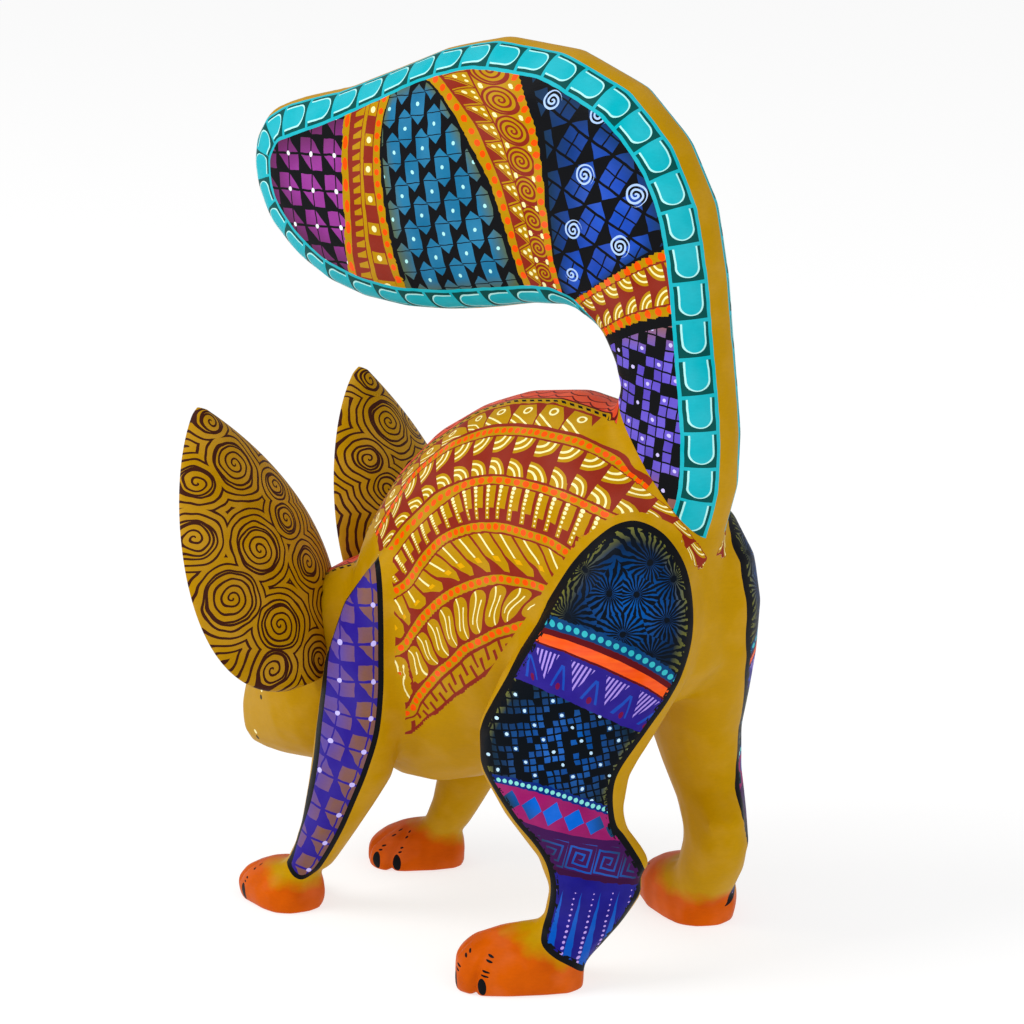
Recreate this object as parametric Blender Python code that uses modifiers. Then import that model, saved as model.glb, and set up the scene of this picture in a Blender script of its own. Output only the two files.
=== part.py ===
"""Carved and painted wooden fox figure, the head low and the tail arched over the back.

The torso with its head is one carving. Four legs are doweled and glued to it, and the tail and
the two ears plug into sockets and lift out. Lengths are millimetres in the tables below and
metres in the model. The fox looks along -Y, its left side is at +X, and it stands on Z = 0.
"""

import math

import bmesh
import bpy
from mathutils import Matrix, Vector

MM = 0.001

# Carving blank
VOXEL = 2.2 * MM
SMOOTH_ROUNDS = 7
BLANK_TRIANGLES = 5200
POCKET_TRIANGLES = 900
JOINT_GAP = 0.3 * MM

# The hind legs splay outwards, in a frame turned about Z, and meet the body at this X
HIND_SPLAY = math.radians(38)
HIND_JOINT_X = 11 * MM

# Tail joint: the peg and the flat root of the tail lie square to this axis
TAIL_JOINT_POINT = Vector((0, 74, 156)) * MM
TAIL_JOINT_AXIS = Vector((0, 0.79, 0.61)).normalized()
TAIL_PEG_RADIUS = 6 * MM
TAIL_PEG_LENGTH = 18 * MM

# Ears
EAR_PEG_RADIUS = 2.8 * MM
EAR_PEG_LENGTH = 13 * MM
EAR_HALF_WIDTH = 31.3
EAR_HALF_THICKNESS = 4.3
EAR_CUP = 0.22
EAR_BOW = 5.5
EAR_FOOT = Vector((32, -45, 74.5))
EAR_TIP = Vector((39.2, -82.7, 160))
EAR_PEG_POINT = Vector((20, -53.6, 101)) * MM
EAR_PEG_AXIS = Vector((0.59, -0.32, 0.74)).normalized()

# Dowels that hold the legs: where each crosses the joint, and how far it reaches
HIP_DOWEL_RADIUS = 4 * MM
SHOULDER_DOWEL_RADIUS = 3 * MM
DOWEL_CLEARANCE = 0.3 * MM
HIP_DOWELS = {"hip_dowel_upper": (56, 122), "hip_dowel_lower": (66, 102)}
HIP_DOWEL_REACH = 21 * MM
SHOULDER_DOWEL_YZ = (-23, 82)
SHOULDER_DOWEL_SPAN = (13 * MM, 33 * MM)

# Colours
MUSTARD = (0.56, 0.36, 0.02, 1)
TEAL = (0.02, 0.45, 0.52, 1)
NIGHT_BLUE = (0.02, 0.03, 0.12, 1)
VIOLET = (0.10, 0.06, 0.45, 1)
BARE_WOOD = (0.62, 0.45, 0.27, 1)

# Stations of each loft, across one line from edge to edge: first edge (y, z), second edge (y, z),
# middle x, half-thickness in x. On the fox's body the first edge is the top, on its legs the front.
TORSO = [
    ((87, 131), (88, 108), 0, 8),
    ((82, 144), (87, 95), 0, 21),
    ((70, 160), (77, 84), 0, 29),
    ((54, 172), (58, 78), 0, 32.5),
    ((37, 175), (39, 67), 0, 33.5),
    ((19, 172.5), (20, 55), 0, 34),
    ((3, 166.5), (2, 46), 0, 33.5),
    ((-11, 158), (-13, 41.5), 0, 31),
    ((-24, 146), (-27, 41), 0, 27),
    ((-35, 131), (-38, 44), 0, 22),
    ((-44, 112), (-46, 52), 0, 15),
]
HEAD = [
    ((-24, 112), (-26, 60), 0, 18),
    ((-38, 113), (-36, 48), 0, 22),
    ((-50, 110), (-46, 42), 0, 25),
    ((-62, 103), (-56, 40.5), 0, 25.5),
    ((-73, 91), (-66, 40), 0, 23),
    ((-81, 79), (-76, 39), 0, 18),
    ((-87, 71), (-84, 39), 0, 14.5),
    ((-91, 67), (-91, 39.5), 0, 11.5),
    ((-94, 61), (-94.5, 43), 0, 8),
]
TAIL = [
    ((82, 118), (60, 130), 0, 10),
    ((89, 136), (56, 150), 0, 12.5),
    ((93.5, 152), (53, 165), 0, 13.5),
    ((94, 168), (55, 174), 0, 13.5),
    ((92.5, 182), (57, 180), 0, 13.5),
    ((90.5, 198), (54.5, 188), 0, 14),
    ((88.5, 216), (49.5, 196), 0, 15),
    ((84.5, 236.5), (38, 201.5), 0, 16),
    ((75, 254.5), (22, 200), 0, 17.5),
    ((59.5, 269), (6, 196.5), 0, 18.5),
    ((36, 278), (-10, 194), 0, 19.5),
    ((10, 280), (-26, 193), 0, 19.5),
    ((-10, 275.5), (-42, 194), 0, 18),
    ((-30, 267.5), (-57, 197.5), 0, 16),
    ((-51, 259.5), (-70, 204), 0, 13.5),
    ((-70, 255), (-81, 213), 0, 10.5),
    ((-82, 250.5), (-87.5, 224), 0, 7),
    ((-88, 243), (-89.5, 233), 0, 3.5),
]
# The hind legs, in their own turned frame: y runs rearwards along the paw, x outwards
HIND_LEG = [
    ((38, 142), (48, 145), 54, 6),
    ((31, 137), (57, 140), 55, 12),
    ((24, 124), (64, 127), 57, 16.5),
    ((16, 111), (66, 112), 58, 18),
    ((6, 96), (62.5, 96), 59, 17.5),
    ((-1, 81), (53, 80), 61, 16),
    ((-0.5, 68), (44.5, 66), 62, 14),
    ((7, 54), (42.5, 54), 63.5, 12),
    ((17, 41), (47, 41), 65, 10),
    ((20.5, 31), (49, 30), 65.5, 9.5),
    ((19, 23), (42, 20), 65, 10),
    ((17, 17), (34, 10), 64, 9.5),
]
HIND_HOCK = [
    ((30, 50), (42, 50), 64.5, 7.5),
    ((38, 46), (46.5, 46), 64.5, 7.5),
    ((45, 35), (51.5, 39), 65, 6),
]
HIND_PAW = [
    ((31, 11), (31, -3), 64, 5),
    ((27.5, 16), (27.5, -5), 64, 10),
    ((20, 20), (20, -6), 63.5, 13),
    ((8, 18), (8, -6), 63, 14.5),
    ((-2, 15), (-2, -5), 63, 14),
    ((-8, 10), (-8, -2), 63, 9),
]
FORE_LEG = [
    ((-15, 123), (-12, 122), 27, 3),
    ((-23, 114), (-11, 114), 28.5, 6.5),
    ((-29, 105), (-10, 105), 30, 8.5),
    ((-36, 86), (-10, 88), 31, 10),
    ((-40, 64), (-9, 68), 31, 10.5),
    ((-43, 46), (-13, 50), 31, 10.5),
    ((-46, 32), (-22, 37), 31, 9.5),
    ((-49, 23), (-31, 25), 31, 9),
    ((-53, 16), (-40, 13), 31, 8.5),
]
# A front paw along its own length: y forwards is negative, from heel to toe
FORE_PAW = [
    ((12, 9), (12, -2), 0, 5),
    ((9, 13), (9, -4), 0, 9.5),
    ((2, 15), (2, -5), 0, 12),
    ((-8, 14), (-8, -5), 0, 13),
    ((-15, 11), (-15, -4), 0, 12),
    ((-20, 7), (-20, -1), 0, 7),
]
# Where each front paw's middle stands and how far it turns inwards
FORE_PAWS = {"left": ((31, -55), -25), "right": ((28, -45), -38)}
HIND_FOOT_SPREAD = {"left": 0, "right": 2}

# How far the pocket that a leg is set in stands off the leg, and the flat faces it is glued by
POCKET_MARGIN = 1.4
HIND_JOINT_DEPTH = 44
FORE_JOINT_INNER = [(1, -20), (1, 30), (17, 44), (17, 60), (24, 66), (24, 200), (200, 200), (200, -20)]
# The outline of all that belongs to the tail, seen from the side
TAIL_JOINT = [(53.15, 183), (-300, 183), (-300, 500), (500, 500), (500, -395)]


def clear_scene():
    for obj in list(bpy.data.objects):
        bpy.data.objects.remove(obj)


def collection_named(name):
    made = bpy.data.collections.new(name)
    bpy.context.scene.collection.children.link(made)
    return made


def paint(name, colour, roughness=0.55):
    material = bpy.data.materials.new(name)
    material.use_nodes = True
    shader = material.node_tree.nodes["Principled BSDF"]
    shader.inputs["Base Color"].default_value = colour
    shader.inputs["Roughness"].default_value = roughness
    shader.inputs["Metallic"].default_value = 0.0
    material.diffuse_color = colour
    return material


def object_of(bm, name, collection):
    bmesh.ops.recalc_face_normals(bm, faces=bm.faces)
    mesh = bpy.data.meshes.new(name)
    bm.to_mesh(mesh)
    bm.free()
    obj = bpy.data.objects.new(name, mesh)
    collection.objects.link(obj)
    return obj


def add_loft(bm, rings):
    """Skins a row of closed rings, each a list of points, and caps both ends."""
    rows = [[bm.verts.new(point) for point in ring] for ring in rings]
    sides = len(rows[0])
    for first, second in zip(rows, rows[1:]):
        for i in range(sides):
            j = (i + 1) % sides
            bm.faces.new((first[i], first[j], second[j], second[i]))
    bm.faces.new(rows[0])
    bm.faces.new(reversed(rows[-1]))


def oval_rings(stations, squareness=2.0, sides=28):
    """One oval ring per station, in metres, from its edges, its middle x and its half-thickness."""
    rings = []
    for first, second, x, thickness in stations:
        start, end = Vector((x, *first)), Vector((x, *second))
        middle, half = (start + end) / 2, (start - end) / 2
        ring = []
        for k in range(sides):
            angle = 2 * math.pi * k / sides
            shares = [math.copysign(abs(t) ** (2 / squareness), t) for t in (math.cos(angle), math.sin(angle))]
            ring.append((middle + Vector((thickness, 0, 0)) * shares[0] + half * shares[1]) * MM)
        rings.append(ring)
    return rings


def moved(rings, matrix):
    return [[matrix @ point for point in ring] for ring in rings]


def leaning(stations, push, start, x_axis):
    """The stations with a push in x or y that grows from nothing at height `start` to the floor."""
    leaned = []
    for first, second, x, thickness in stations:
        share = max(0.0, 1 - (first[1] + second[1]) / 2 / start)
        if x_axis:
            leaned.append((first, second, x + push * share, thickness))
        else:
            leaned.append(((first[0] + push * share, first[1]), (second[0] + push * share, second[1]),
                           x, thickness))
    return leaned


def hind_leg_rings(side, word):
    lofts = []
    for stations in (HIND_LEG, HIND_HOCK, HIND_PAW):
        rings = oval_rings(leaning(stations, HIND_FOOT_SPREAD[word], 80, True), 2.2)
        lofts.append([[hind_frame(side, point) for point in ring] for ring in rings])
    return lofts


def fore_leg_rings(side, word):
    (x, y), turn = FORE_PAWS[word]
    (left_x, left_y), _ = FORE_PAWS["left"]
    leg = leaning(leaning(FORE_LEG, x - left_x, 90, True), y - left_y, 90, False)
    stand = Matrix.Translation(Vector((x, y, 0)) * MM) @ Matrix.Rotation(math.radians(turn), 4, "Z")
    paw = moved(oval_rings(FORE_PAW, 2.2), stand)
    return [[[mirrored(point, side) for point in ring] for ring in rings] for rings in (oval_rings(leg), paw)]


def thinned(obj, triangles, helpers):
    """The object with about that many triangles."""
    faces = sum(len(polygon.vertices) - 2 for polygon in obj.data.polygons)
    thin = obj.modifiers.new("thin", "DECIMATE")
    thin.ratio = min(1.0, triangles / faces)
    return baked(obj, helpers)


def baked(obj, collection):
    """The object with its modifiers applied."""
    graph = bpy.context.evaluated_depsgraph_get()
    mesh = bpy.data.meshes.new_from_object(obj.evaluated_get(graph))
    made = bpy.data.objects.new(obj.name, mesh)
    name, matrix = obj.name, obj.matrix_world.copy()
    bpy.data.objects.remove(obj)
    made.name = name
    made.matrix_world = matrix
    collection.objects.link(made)
    bpy.context.view_layer.update()
    return made


def prism(name, outline, near, far, to_world, helpers):
    """A solid between two values of its own X, its outline drawn in its own Y and Z."""
    bm = bmesh.new()
    rings = [[to_world(Vector((depth, y * MM, z * MM))) for y, z in outline] for depth in (near, far)]
    add_loft(bm, rings)
    return object_of(bm, name, helpers)


def hind_frame(side, point):
    """From a hind leg's own frame (outwards, rearwards, up) to the fox's."""
    turned = Matrix.Rotation(HIND_SPLAY, 3, "Z") @ point
    return Vector((side * turned.x, turned.y, turned.z))


def grown(outline, by):
    """The outline moved outwards from its own middle, by about that much."""
    centre = sum((Vector(p) for p in outline), Vector((0, 0))) / len(outline)
    points = []
    for p in outline:
        away = Vector(p) - centre
        points.append(tuple(Vector(p) + away.normalized() * by / MM))
    return points


def fused(name, loft_sets, helpers):
    """One smooth closed surface around all the lofts."""
    bm = bmesh.new()
    for rings in loft_sets:
        add_loft(bm, rings)
    obj = object_of(bm, name, helpers)
    remesh = obj.modifiers.new("fuse", "REMESH")
    remesh.mode = "VOXEL"
    remesh.voxel_size = VOXEL
    smooth = obj.modifiers.new("soften", "SMOOTH")
    smooth.factor = 0.5
    smooth.iterations = SMOOTH_ROUNDS
    return baked(obj, helpers)


def pocket(lofts, margin, helpers):
    """The space just around a leg."""
    obj = thinned(fused("pocket", lofts, helpers), POCKET_TRIANGLES, helpers)
    swell = obj.modifiers.new("swell", "DISPLACE")
    swell.strength = margin
    swell.mid_level = 0.0
    return baked(obj, helpers)


def hind_joint(side, word, gap, helpers):
    """A hind leg's own space, ending inwards at a plane by the spine and at one along the flank."""
    space = pocket(hind_leg_rings(side, word), POCKET_MARGIN * MM + gap, helpers)
    square = [(-300, -300), (-300, 300), (300, 300), (300, -300)]
    beyond_spine = prism("beyond_spine", square, HIND_JOINT_X - gap, 300 * MM,
                         lambda p: mirrored(p, side), helpers)
    beyond_flank = prism("beyond_flank", square, HIND_JOINT_DEPTH * MM - gap, 300 * MM,
                         lambda p: hind_frame(side, p), helpers)
    return cut(cut(space, beyond_spine, "INTERSECT", helpers), beyond_flank, "INTERSECT", helpers)


def fore_joint(side, word, gap, helpers):
    """A front leg's own space, down to its flat inner face."""
    space = pocket(fore_leg_rings(side, word), POCKET_MARGIN * MM + gap, helpers)
    inner = prism("fore_inner", grown(FORE_JOINT_INNER, gap), -200 * MM, 100 * MM,
                  lambda p: Vector((side * p.y, p.x, p.z)), helpers)
    return cut(space, inner, "INTERSECT", helpers)


def tail_joint(gap, helpers):
    """Everything beyond the plane across the tail's root, and all of the tail's arch."""
    shift = TAIL_JOINT_AXIS * gap
    return prism("tail_space", TAIL_JOINT, -200 * MM, 200 * MM, lambda p: p - shift, helpers)


def filed(obj, collection):
    for other in list(obj.users_collection):
        other.objects.unlink(obj)
    collection.objects.link(obj)
    return obj


def cylinder(name, start, end, radius, collection, sides=20):
    length = (end - start).length
    bpy.ops.mesh.primitive_cylinder_add(vertices=sides, radius=radius, depth=length)
    obj = bpy.context.object
    obj.name = name
    turn = (end - start).to_track_quat("Z", "Y").to_matrix().to_4x4()
    obj.data.transform(turn)
    obj.location = (start + end) / 2
    return filed(obj, collection)


def copied(obj, name, collection):
    made = obj.copy()
    made.data = obj.data.copy()
    made.name = name
    collection.objects.link(made)
    return made


def cut(obj, tool, operation, helpers, keep_tool=False):
    """Applies an exact Boolean and returns the result, which keeps the object's name."""
    name = obj.name
    bpy.context.view_layer.update()
    step = obj.modifiers.new("cut", "BOOLEAN")
    step.operation = operation
    step.object = tool
    step.solver = "EXACT"
    made = baked(obj, helpers)
    made.name = name
    if not keep_tool:
        bpy.data.objects.remove(tool)
    return made


def largest_body(obj, helpers):
    """Drops crumbs that a cut leaves beside the main body."""
    bm = bmesh.new()
    bm.from_mesh(obj.data)
    bmesh.ops.triangulate(bm, faces=bm.faces)
    bmesh.ops.remove_doubles(bm, verts=bm.verts, dist=0.005 * MM)
    unseen, bodies = set(bm.verts), []
    while unseen:
        stack, body = [unseen.pop()], []
        while stack:
            vert = stack.pop()
            body.append(vert)
            for edge in vert.link_edges:
                other = edge.other_vert(vert)
                if other in unseen:
                    unseen.remove(other)
                    stack.append(other)
        bodies.append(body)
    bodies.sort(key=len)
    bmesh.ops.delete(bm, geom=[v for body in bodies[:-1] for v in body], context="VERTS")
    name = obj.name
    bpy.data.objects.remove(obj)
    return object_of(bm, name, helpers)


def ear_rings(side):
    """A pointed, cupped leaf: curved lens sections from the foot of the ear to its tip."""
    axis = (EAR_TIP - EAR_FOOT).normalized()
    length = (EAR_TIP - EAR_FOOT).length
    back = (Vector((0, 1, 0)) - axis.y * axis).normalized()
    across = axis.cross(back)
    widest = 0.48 / (0.48 + 0.82)
    full = widest ** 0.48 * (1 - widest) ** 0.82
    rings, steps, sides = [], 14, 20
    for i in range(steps + 1):
        share = 0.004 + 0.99 * i / steps
        half_width = EAR_HALF_WIDTH * share ** 0.48 * (1 - share) ** 0.82 / full
        centre = EAR_FOOT + axis * share * length + back * EAR_BOW * math.sin(math.pi * share)
        thick = EAR_HALF_THICKNESS * (1.1 - 0.6 * share)
        thick = min(thick, 0.8 * half_width)
        ring = []
        for k in range(sides):
            angle = 2 * math.pi * k / sides
            reach = math.cos(angle)
            cup = EAR_CUP * half_width * reach * reach
            point = centre + across * half_width * reach + back * (thick * math.sin(angle) - cup)
            ring.append(mirrored(point, side) * MM)
        rings.append(ring)
    return rings


def mirrored(vector, side):
    return Vector((side * vector.x, vector.y, vector.z))


def carve_blank(helpers):
    lofts = [oval_rings(TORSO, 2.15), oval_rings(HEAD, 2.5), oval_rings(TAIL, 2.5)]
    for side, word in ((1, "left"), (-1, "right")):
        lofts += hind_leg_rings(side, word) + fore_leg_rings(side, word)
    blank = thinned(fused("blank", lofts, helpers), BLANK_TRIANGLES, helpers)
    bpy.ops.mesh.primitive_cube_add(size=0.5)
    floor = bpy.context.object
    floor.data.transform(Matrix.Translation((0, 0, -0.25)))
    return cut(blank, filed(floor, helpers), "DIFFERENCE", helpers)


def make_ears(torso, helpers):
    """Both ears, each scribed to the head and fitted with its peg, and the torso with its sockets."""
    head = copied(torso, "head_allowance", helpers)
    swell = head.modifiers.new("swell", "DISPLACE")
    swell.strength = JOINT_GAP
    swell.mid_level = 0.0
    head = baked(head, helpers)
    ears = []
    for side, word in ((1, "left"), (-1, "right")):
        leaf = bmesh.new()
        add_loft(leaf, ear_rings(side))
        ear = object_of(leaf, "ear_" + word, helpers)
        ear = cut(ear, head, "DIFFERENCE", helpers, keep_tool=True)
        root, axis = mirrored(EAR_PEG_POINT, side), mirrored(EAR_PEG_AXIS, side)
        end = root - axis * EAR_PEG_LENGTH
        peg = cylinder("peg", root + axis * 4 * MM, end, EAR_PEG_RADIUS, helpers)
        ears.append(largest_body(cut(ear, peg, "UNION", helpers), helpers))
        socket = cylinder("socket", root + axis * 20 * MM, end - axis * JOINT_GAP,
                          EAR_PEG_RADIUS + JOINT_GAP, helpers)
        torso = cut(torso, socket, "DIFFERENCE", helpers)
    bpy.data.objects.remove(head)
    return torso, ears


def make_legs(blank, torso, helpers):
    legs = []
    for side, word in ((1, "left"), (-1, "right")):
        for kind, space in (("hind_leg_", hind_joint), ("foreleg_", fore_joint)):
            leg = copied(blank, kind + word, helpers)
            leg = cut(leg, space(side, word, 0, helpers), "INTERSECT", helpers)
            legs.append(largest_body(leg, helpers))
            torso = cut(torso, space(side, word, JOINT_GAP, helpers), "DIFFERENCE", helpers)
    return torso, legs


def make_tail(blank, torso, helpers):
    tail = cut(copied(blank, "tail", helpers), tail_joint(0, helpers), "INTERSECT", helpers)
    end = TAIL_JOINT_POINT - TAIL_JOINT_AXIS * TAIL_PEG_LENGTH
    peg = cylinder("peg", TAIL_JOINT_POINT + TAIL_JOINT_AXIS * 5 * MM, end, TAIL_PEG_RADIUS, helpers)
    tail = largest_body(cut(tail, peg, "UNION", helpers), helpers)
    torso = cut(torso, tail_joint(JOINT_GAP, helpers), "DIFFERENCE", helpers)
    socket = cylinder("socket", TAIL_JOINT_POINT + TAIL_JOINT_AXIS * 9 * MM,
                      end - TAIL_JOINT_AXIS * 2 * JOINT_GAP, TAIL_PEG_RADIUS + JOINT_GAP, helpers)
    return cut(torso, socket, "DIFFERENCE", helpers), tail


def drilled(pieces, dowel_specs, helpers):
    """Drills each dowel's hole through every piece, a little wider and longer than the dowel."""
    made = []
    for piece in pieces:
        for start, end, radius in dowel_specs:
            along = (end - start).normalized() * DOWEL_CLEARANCE
            tool = cylinder("drill", start - along, end + along, radius + DOWEL_CLEARANCE, helpers)
            piece = cut(piece, tool, "DIFFERENCE", helpers)
        made.append(largest_body(piece, helpers))
    return made


def dowel_list():
    """Each dowel's name, ends and radius."""
    dowels = {}
    for name, (y, z) in HIP_DOWELS.items():
        ends = [Vector((side * HIP_DOWEL_REACH, y * MM, z * MM)) for side in (-1, 1)]
        dowels[name] = (*ends, HIP_DOWEL_RADIUS)
    y, z = (value * MM for value in SHOULDER_DOWEL_YZ)
    for side, word in ((1, "left"), (-1, "right")):
        ends = [Vector((side * x, y, z)) for x in SHOULDER_DOWEL_SPAN]
        dowels["shoulder_dowel_" + word] = (*ends, SHOULDER_DOWEL_RADIUS)
    return dowels


def finish_piece(obj, material, fox):
    obj.data.materials.clear()
    obj.data.materials.append(material)
    obj.data.shade_smooth()
    obj.data.set_sharp_from_angle(angle=math.radians(40))
    filed(obj, fox)


def set_origin(obj, point):
    """Puts the object's origin at a world point and leaves its shape where it is."""
    obj.data.transform(Matrix.Translation(-point))
    obj.location = point


def centre_over_origin(objects):
    """Moves all pieces so that the middle of their common base is the origin."""
    bpy.context.view_layer.update()
    corners = [obj.matrix_world @ v.co for obj in objects for v in obj.data.vertices]
    low = Vector(min(c[i] for c in corners) for i in range(3))
    high = Vector(max(c[i] for c in corners) for i in range(3))
    shift = Vector((-(low.x + high.x) / 2, -(low.y + high.y) / 2, -low.z))
    for obj in objects:
        obj.location += shift
    print("shift to the middle of the base, mm:", [round(value / MM, 3) for value in shift])


def main():
    clear_scene()
    fox = collection_named("alebrije_fox")
    helpers = collection_named("cutters")
    blank = carve_blank(helpers)
    torso = copied(blank, "torso", helpers)
    torso, legs = make_legs(blank, torso, helpers)
    torso, tail = make_tail(blank, torso, helpers)
    torso = largest_body(torso, helpers)
    torso, ears = make_ears(torso, helpers)
    dowels = dowel_list()
    torso, *legs = drilled([torso, *legs], dowels.values(), helpers)
    bars = [cylinder(name, *spec, helpers) for name, spec in dowels.items()]
    bpy.data.objects.remove(blank)

    finish_piece(torso, paint("body_paint", MUSTARD), fox)
    finish_piece(tail, paint("tail_paint", TEAL), fox)
    set_origin(tail, TAIL_JOINT_POINT)
    hind_paint, fore_paint = paint("hind_leg_paint", NIGHT_BLUE), paint("foreleg_paint", VIOLET)
    for leg in legs:
        finish_piece(leg, hind_paint if leg.name.startswith("hind") else fore_paint, fox)
    ear_paint = paint("ear_paint", MUSTARD)
    for side, ear in zip((1, -1), ears):
        finish_piece(ear, ear_paint, fox)
        set_origin(ear, mirrored(EAR_PEG_POINT, side))
    wood = paint("bare_wood", BARE_WOOD, 0.7)
    for bar in bars:
        finish_piece(bar, wood, fox)
    helpers.hide_render = True
    for helper in helpers.objects:
        helper.display_type = "WIRE"
    centre_over_origin([torso, tail, *legs, *ears, *bars])


main()
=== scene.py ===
"""Hand-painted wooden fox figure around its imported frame."""

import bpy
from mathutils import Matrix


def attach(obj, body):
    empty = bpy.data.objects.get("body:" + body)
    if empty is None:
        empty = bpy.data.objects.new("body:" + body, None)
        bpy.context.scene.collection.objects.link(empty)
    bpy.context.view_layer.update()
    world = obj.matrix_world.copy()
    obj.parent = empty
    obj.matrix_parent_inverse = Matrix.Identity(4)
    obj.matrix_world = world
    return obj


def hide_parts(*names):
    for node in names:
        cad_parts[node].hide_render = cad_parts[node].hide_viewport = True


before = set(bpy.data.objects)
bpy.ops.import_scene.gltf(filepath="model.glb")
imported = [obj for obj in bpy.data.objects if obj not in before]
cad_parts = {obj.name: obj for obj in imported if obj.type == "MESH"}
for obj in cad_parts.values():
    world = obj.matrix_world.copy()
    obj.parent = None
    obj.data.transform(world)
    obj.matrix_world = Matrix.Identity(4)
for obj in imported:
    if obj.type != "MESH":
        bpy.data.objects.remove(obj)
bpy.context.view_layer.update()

import math

import bmesh
import bpy
import numpy as np
from mathutils import Matrix, Vector
from mathutils.bvhtree import BVHTree
from mathutils.kdtree import KDTree

MM = 0.001
VOXEL = 1.0 * MM
LEGS = ("foreleg_left", "foreleg_right", "hind_leg_left", "hind_leg_right")
SKIN_GROWTH = 0.35 * MM  # the parts swell by this much, fuse, and shrink back
SMOOTHING = 26
SHIFT_Y = 0.31          # the frame's origin lies this far, in mm, behind the carving's own datum

# ---------------------------------------------------------------- geometry helpers


def new_object(name, verts, faces):
    mesh = bpy.data.meshes.new(name)
    mesh.from_pydata([tuple(v) for v in verts], [], [tuple(f) for f in faces])
    mesh.update()
    obj = bpy.data.objects.new(name, mesh)
    bpy.context.scene.collection.objects.link(obj)
    return obj


def copy_of(node, name):
    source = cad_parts[node]
    obj = bpy.data.objects.new(name, source.data.copy())
    obj.matrix_world = source.matrix_world.copy()
    obj.data.materials.clear()
    bpy.context.scene.collection.objects.link(obj)
    return obj


def coords(obj):
    out = np.empty(len(obj.data.vertices) * 3, np.float32)
    obj.data.vertices.foreach_get("co", out)
    return out.reshape(-1, 3).astype(float)


def set_coords(obj, points):
    obj.data.vertices.foreach_set("co", np.asarray(points, np.float32).ravel())
    obj.data.update()


def normals(obj):
    out = np.empty(len(obj.data.vertices) * 3, np.float32)
    obj.data.vertices.foreach_get("normal", out)
    return out.reshape(-1, 3).astype(float)


def baked(obj):
    graph = bpy.context.evaluated_depsgraph_get()
    mesh = bpy.data.meshes.new_from_object(obj.evaluated_get(graph))
    obj.modifiers.clear()
    old = obj.data
    obj.data = mesh
    bpy.data.meshes.remove(old)
    return obj


def welded(obj, distance=2e-6):
    bm = bmesh.new()
    bm.from_mesh(obj.data)
    bmesh.ops.remove_doubles(bm, verts=bm.verts, dist=distance)
    bm.to_mesh(obj.data)
    bm.free()
    return obj


def joined(name, objects):
    bm = bmesh.new()
    for obj in objects:
        bm.from_mesh(obj.data)
        mesh = obj.data
        bpy.data.objects.remove(obj)
        bpy.data.meshes.remove(mesh)
    mesh = bpy.data.meshes.new(name)
    bm.to_mesh(mesh)
    bm.free()
    out = bpy.data.objects.new(name, mesh)
    bpy.context.scene.collection.objects.link(out)
    return out


def voxel_remesh(obj, size):
    step = obj.modifiers.new("remesh", "REMESH")
    step.mode = "VOXEL"
    step.voxel_size = size
    return baked(obj)


def component_labels(count, edges):
    label = np.arange(count)
    while True:
        low = np.minimum(label[edges[:, 0]], label[edges[:, 1]])
        new = label.copy()
        np.minimum.at(new, edges[:, 0], low)
        np.minimum.at(new, edges[:, 1], low)
        new = new[new]
        if (new == label).all():
            return label
        label = new


def edges_of(obj):
    out = np.empty(len(obj.data.edges) * 2, np.int32)
    obj.data.edges.foreach_get("vertices", out)
    return out.reshape(-1, 2)


def largest_part(obj):
    """Keeps the component with the widest box, dropping sealed pockets inside."""
    points, edges = coords(obj), edges_of(obj)
    label = component_labels(len(points), edges)
    ids = np.unique(label)
    if len(ids) == 1:
        return obj
    spans = [np.ptp(points[label == i], axis=0).sum() for i in ids]
    keep = ids[int(np.argmax(spans))]
    bm = bmesh.new()
    bm.from_mesh(obj.data)
    bm.verts.ensure_lookup_table()
    bmesh.ops.delete(bm, geom=[bm.verts[int(i)] for i in np.nonzero(label != keep)[0]], context="VERTS")
    bm.to_mesh(obj.data)
    bm.free()
    return obj


def taubin(obj, rounds, inward=0.55, outward=-0.57):
    """Smooths facets away and leaves the size of the shape as it is."""
    points, edges = coords(obj), edges_of(obj)
    a, b = edges[:, 0], edges[:, 1]
    count = len(points)
    degree = np.bincount(a, minlength=count) + np.bincount(b, minlength=count)
    for _ in range(rounds):
        for factor in (inward, outward):
            mean = np.stack([np.bincount(a, points[b, k], count) + np.bincount(b, points[a, k], count)
                             for k in range(3)], axis=1) / degree[:, None]
            points = points + factor * (mean - points)
    set_coords(obj, points)
    return obj


def boolean(obj, tool, operation, solver="MANIFOLD"):
    step = obj.modifiers.new("cut", "BOOLEAN")
    step.operation = operation
    step.object = tool
    step.solver = solver
    baked(obj)
    return obj


def discard(*objects):
    for obj in objects:
        mesh = obj.data
        bpy.data.objects.remove(obj)
        bpy.data.meshes.remove(mesh)


def duplicate(obj, name):
    out = obj.copy()
    out.data = obj.data.copy()
    out.name = name
    bpy.context.scene.collection.objects.link(out)
    return out


# ---------------------------------------- one smooth carving, then its pieces


def fused_carving():
    parts = []
    for node in ("torso", "tail") + LEGS:
        obj = welded(copy_of(node, "part_" + node))
        set_coords(obj, coords(obj) + normals(obj) * SKIN_GROWTH)
        parts.append(obj)
    skin = voxel_remesh(joined("carving", parts), VOXEL)
    largest_part(skin)
    taubin(skin, SMOOTHING)
    set_coords(skin, coords(skin) - normals(skin) * SKIN_GROWTH)
    return skin


def nearest_distance(points, node):
    """Distance from each point to a CAD node's surface."""
    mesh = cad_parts[node].data
    tree = BVHTree.FromPolygons([v.co for v in mesh.vertices], [p.vertices for p in mesh.polygons])
    return np.array([tree.find_nearest(Vector(p))[3] for p in points])


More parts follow.
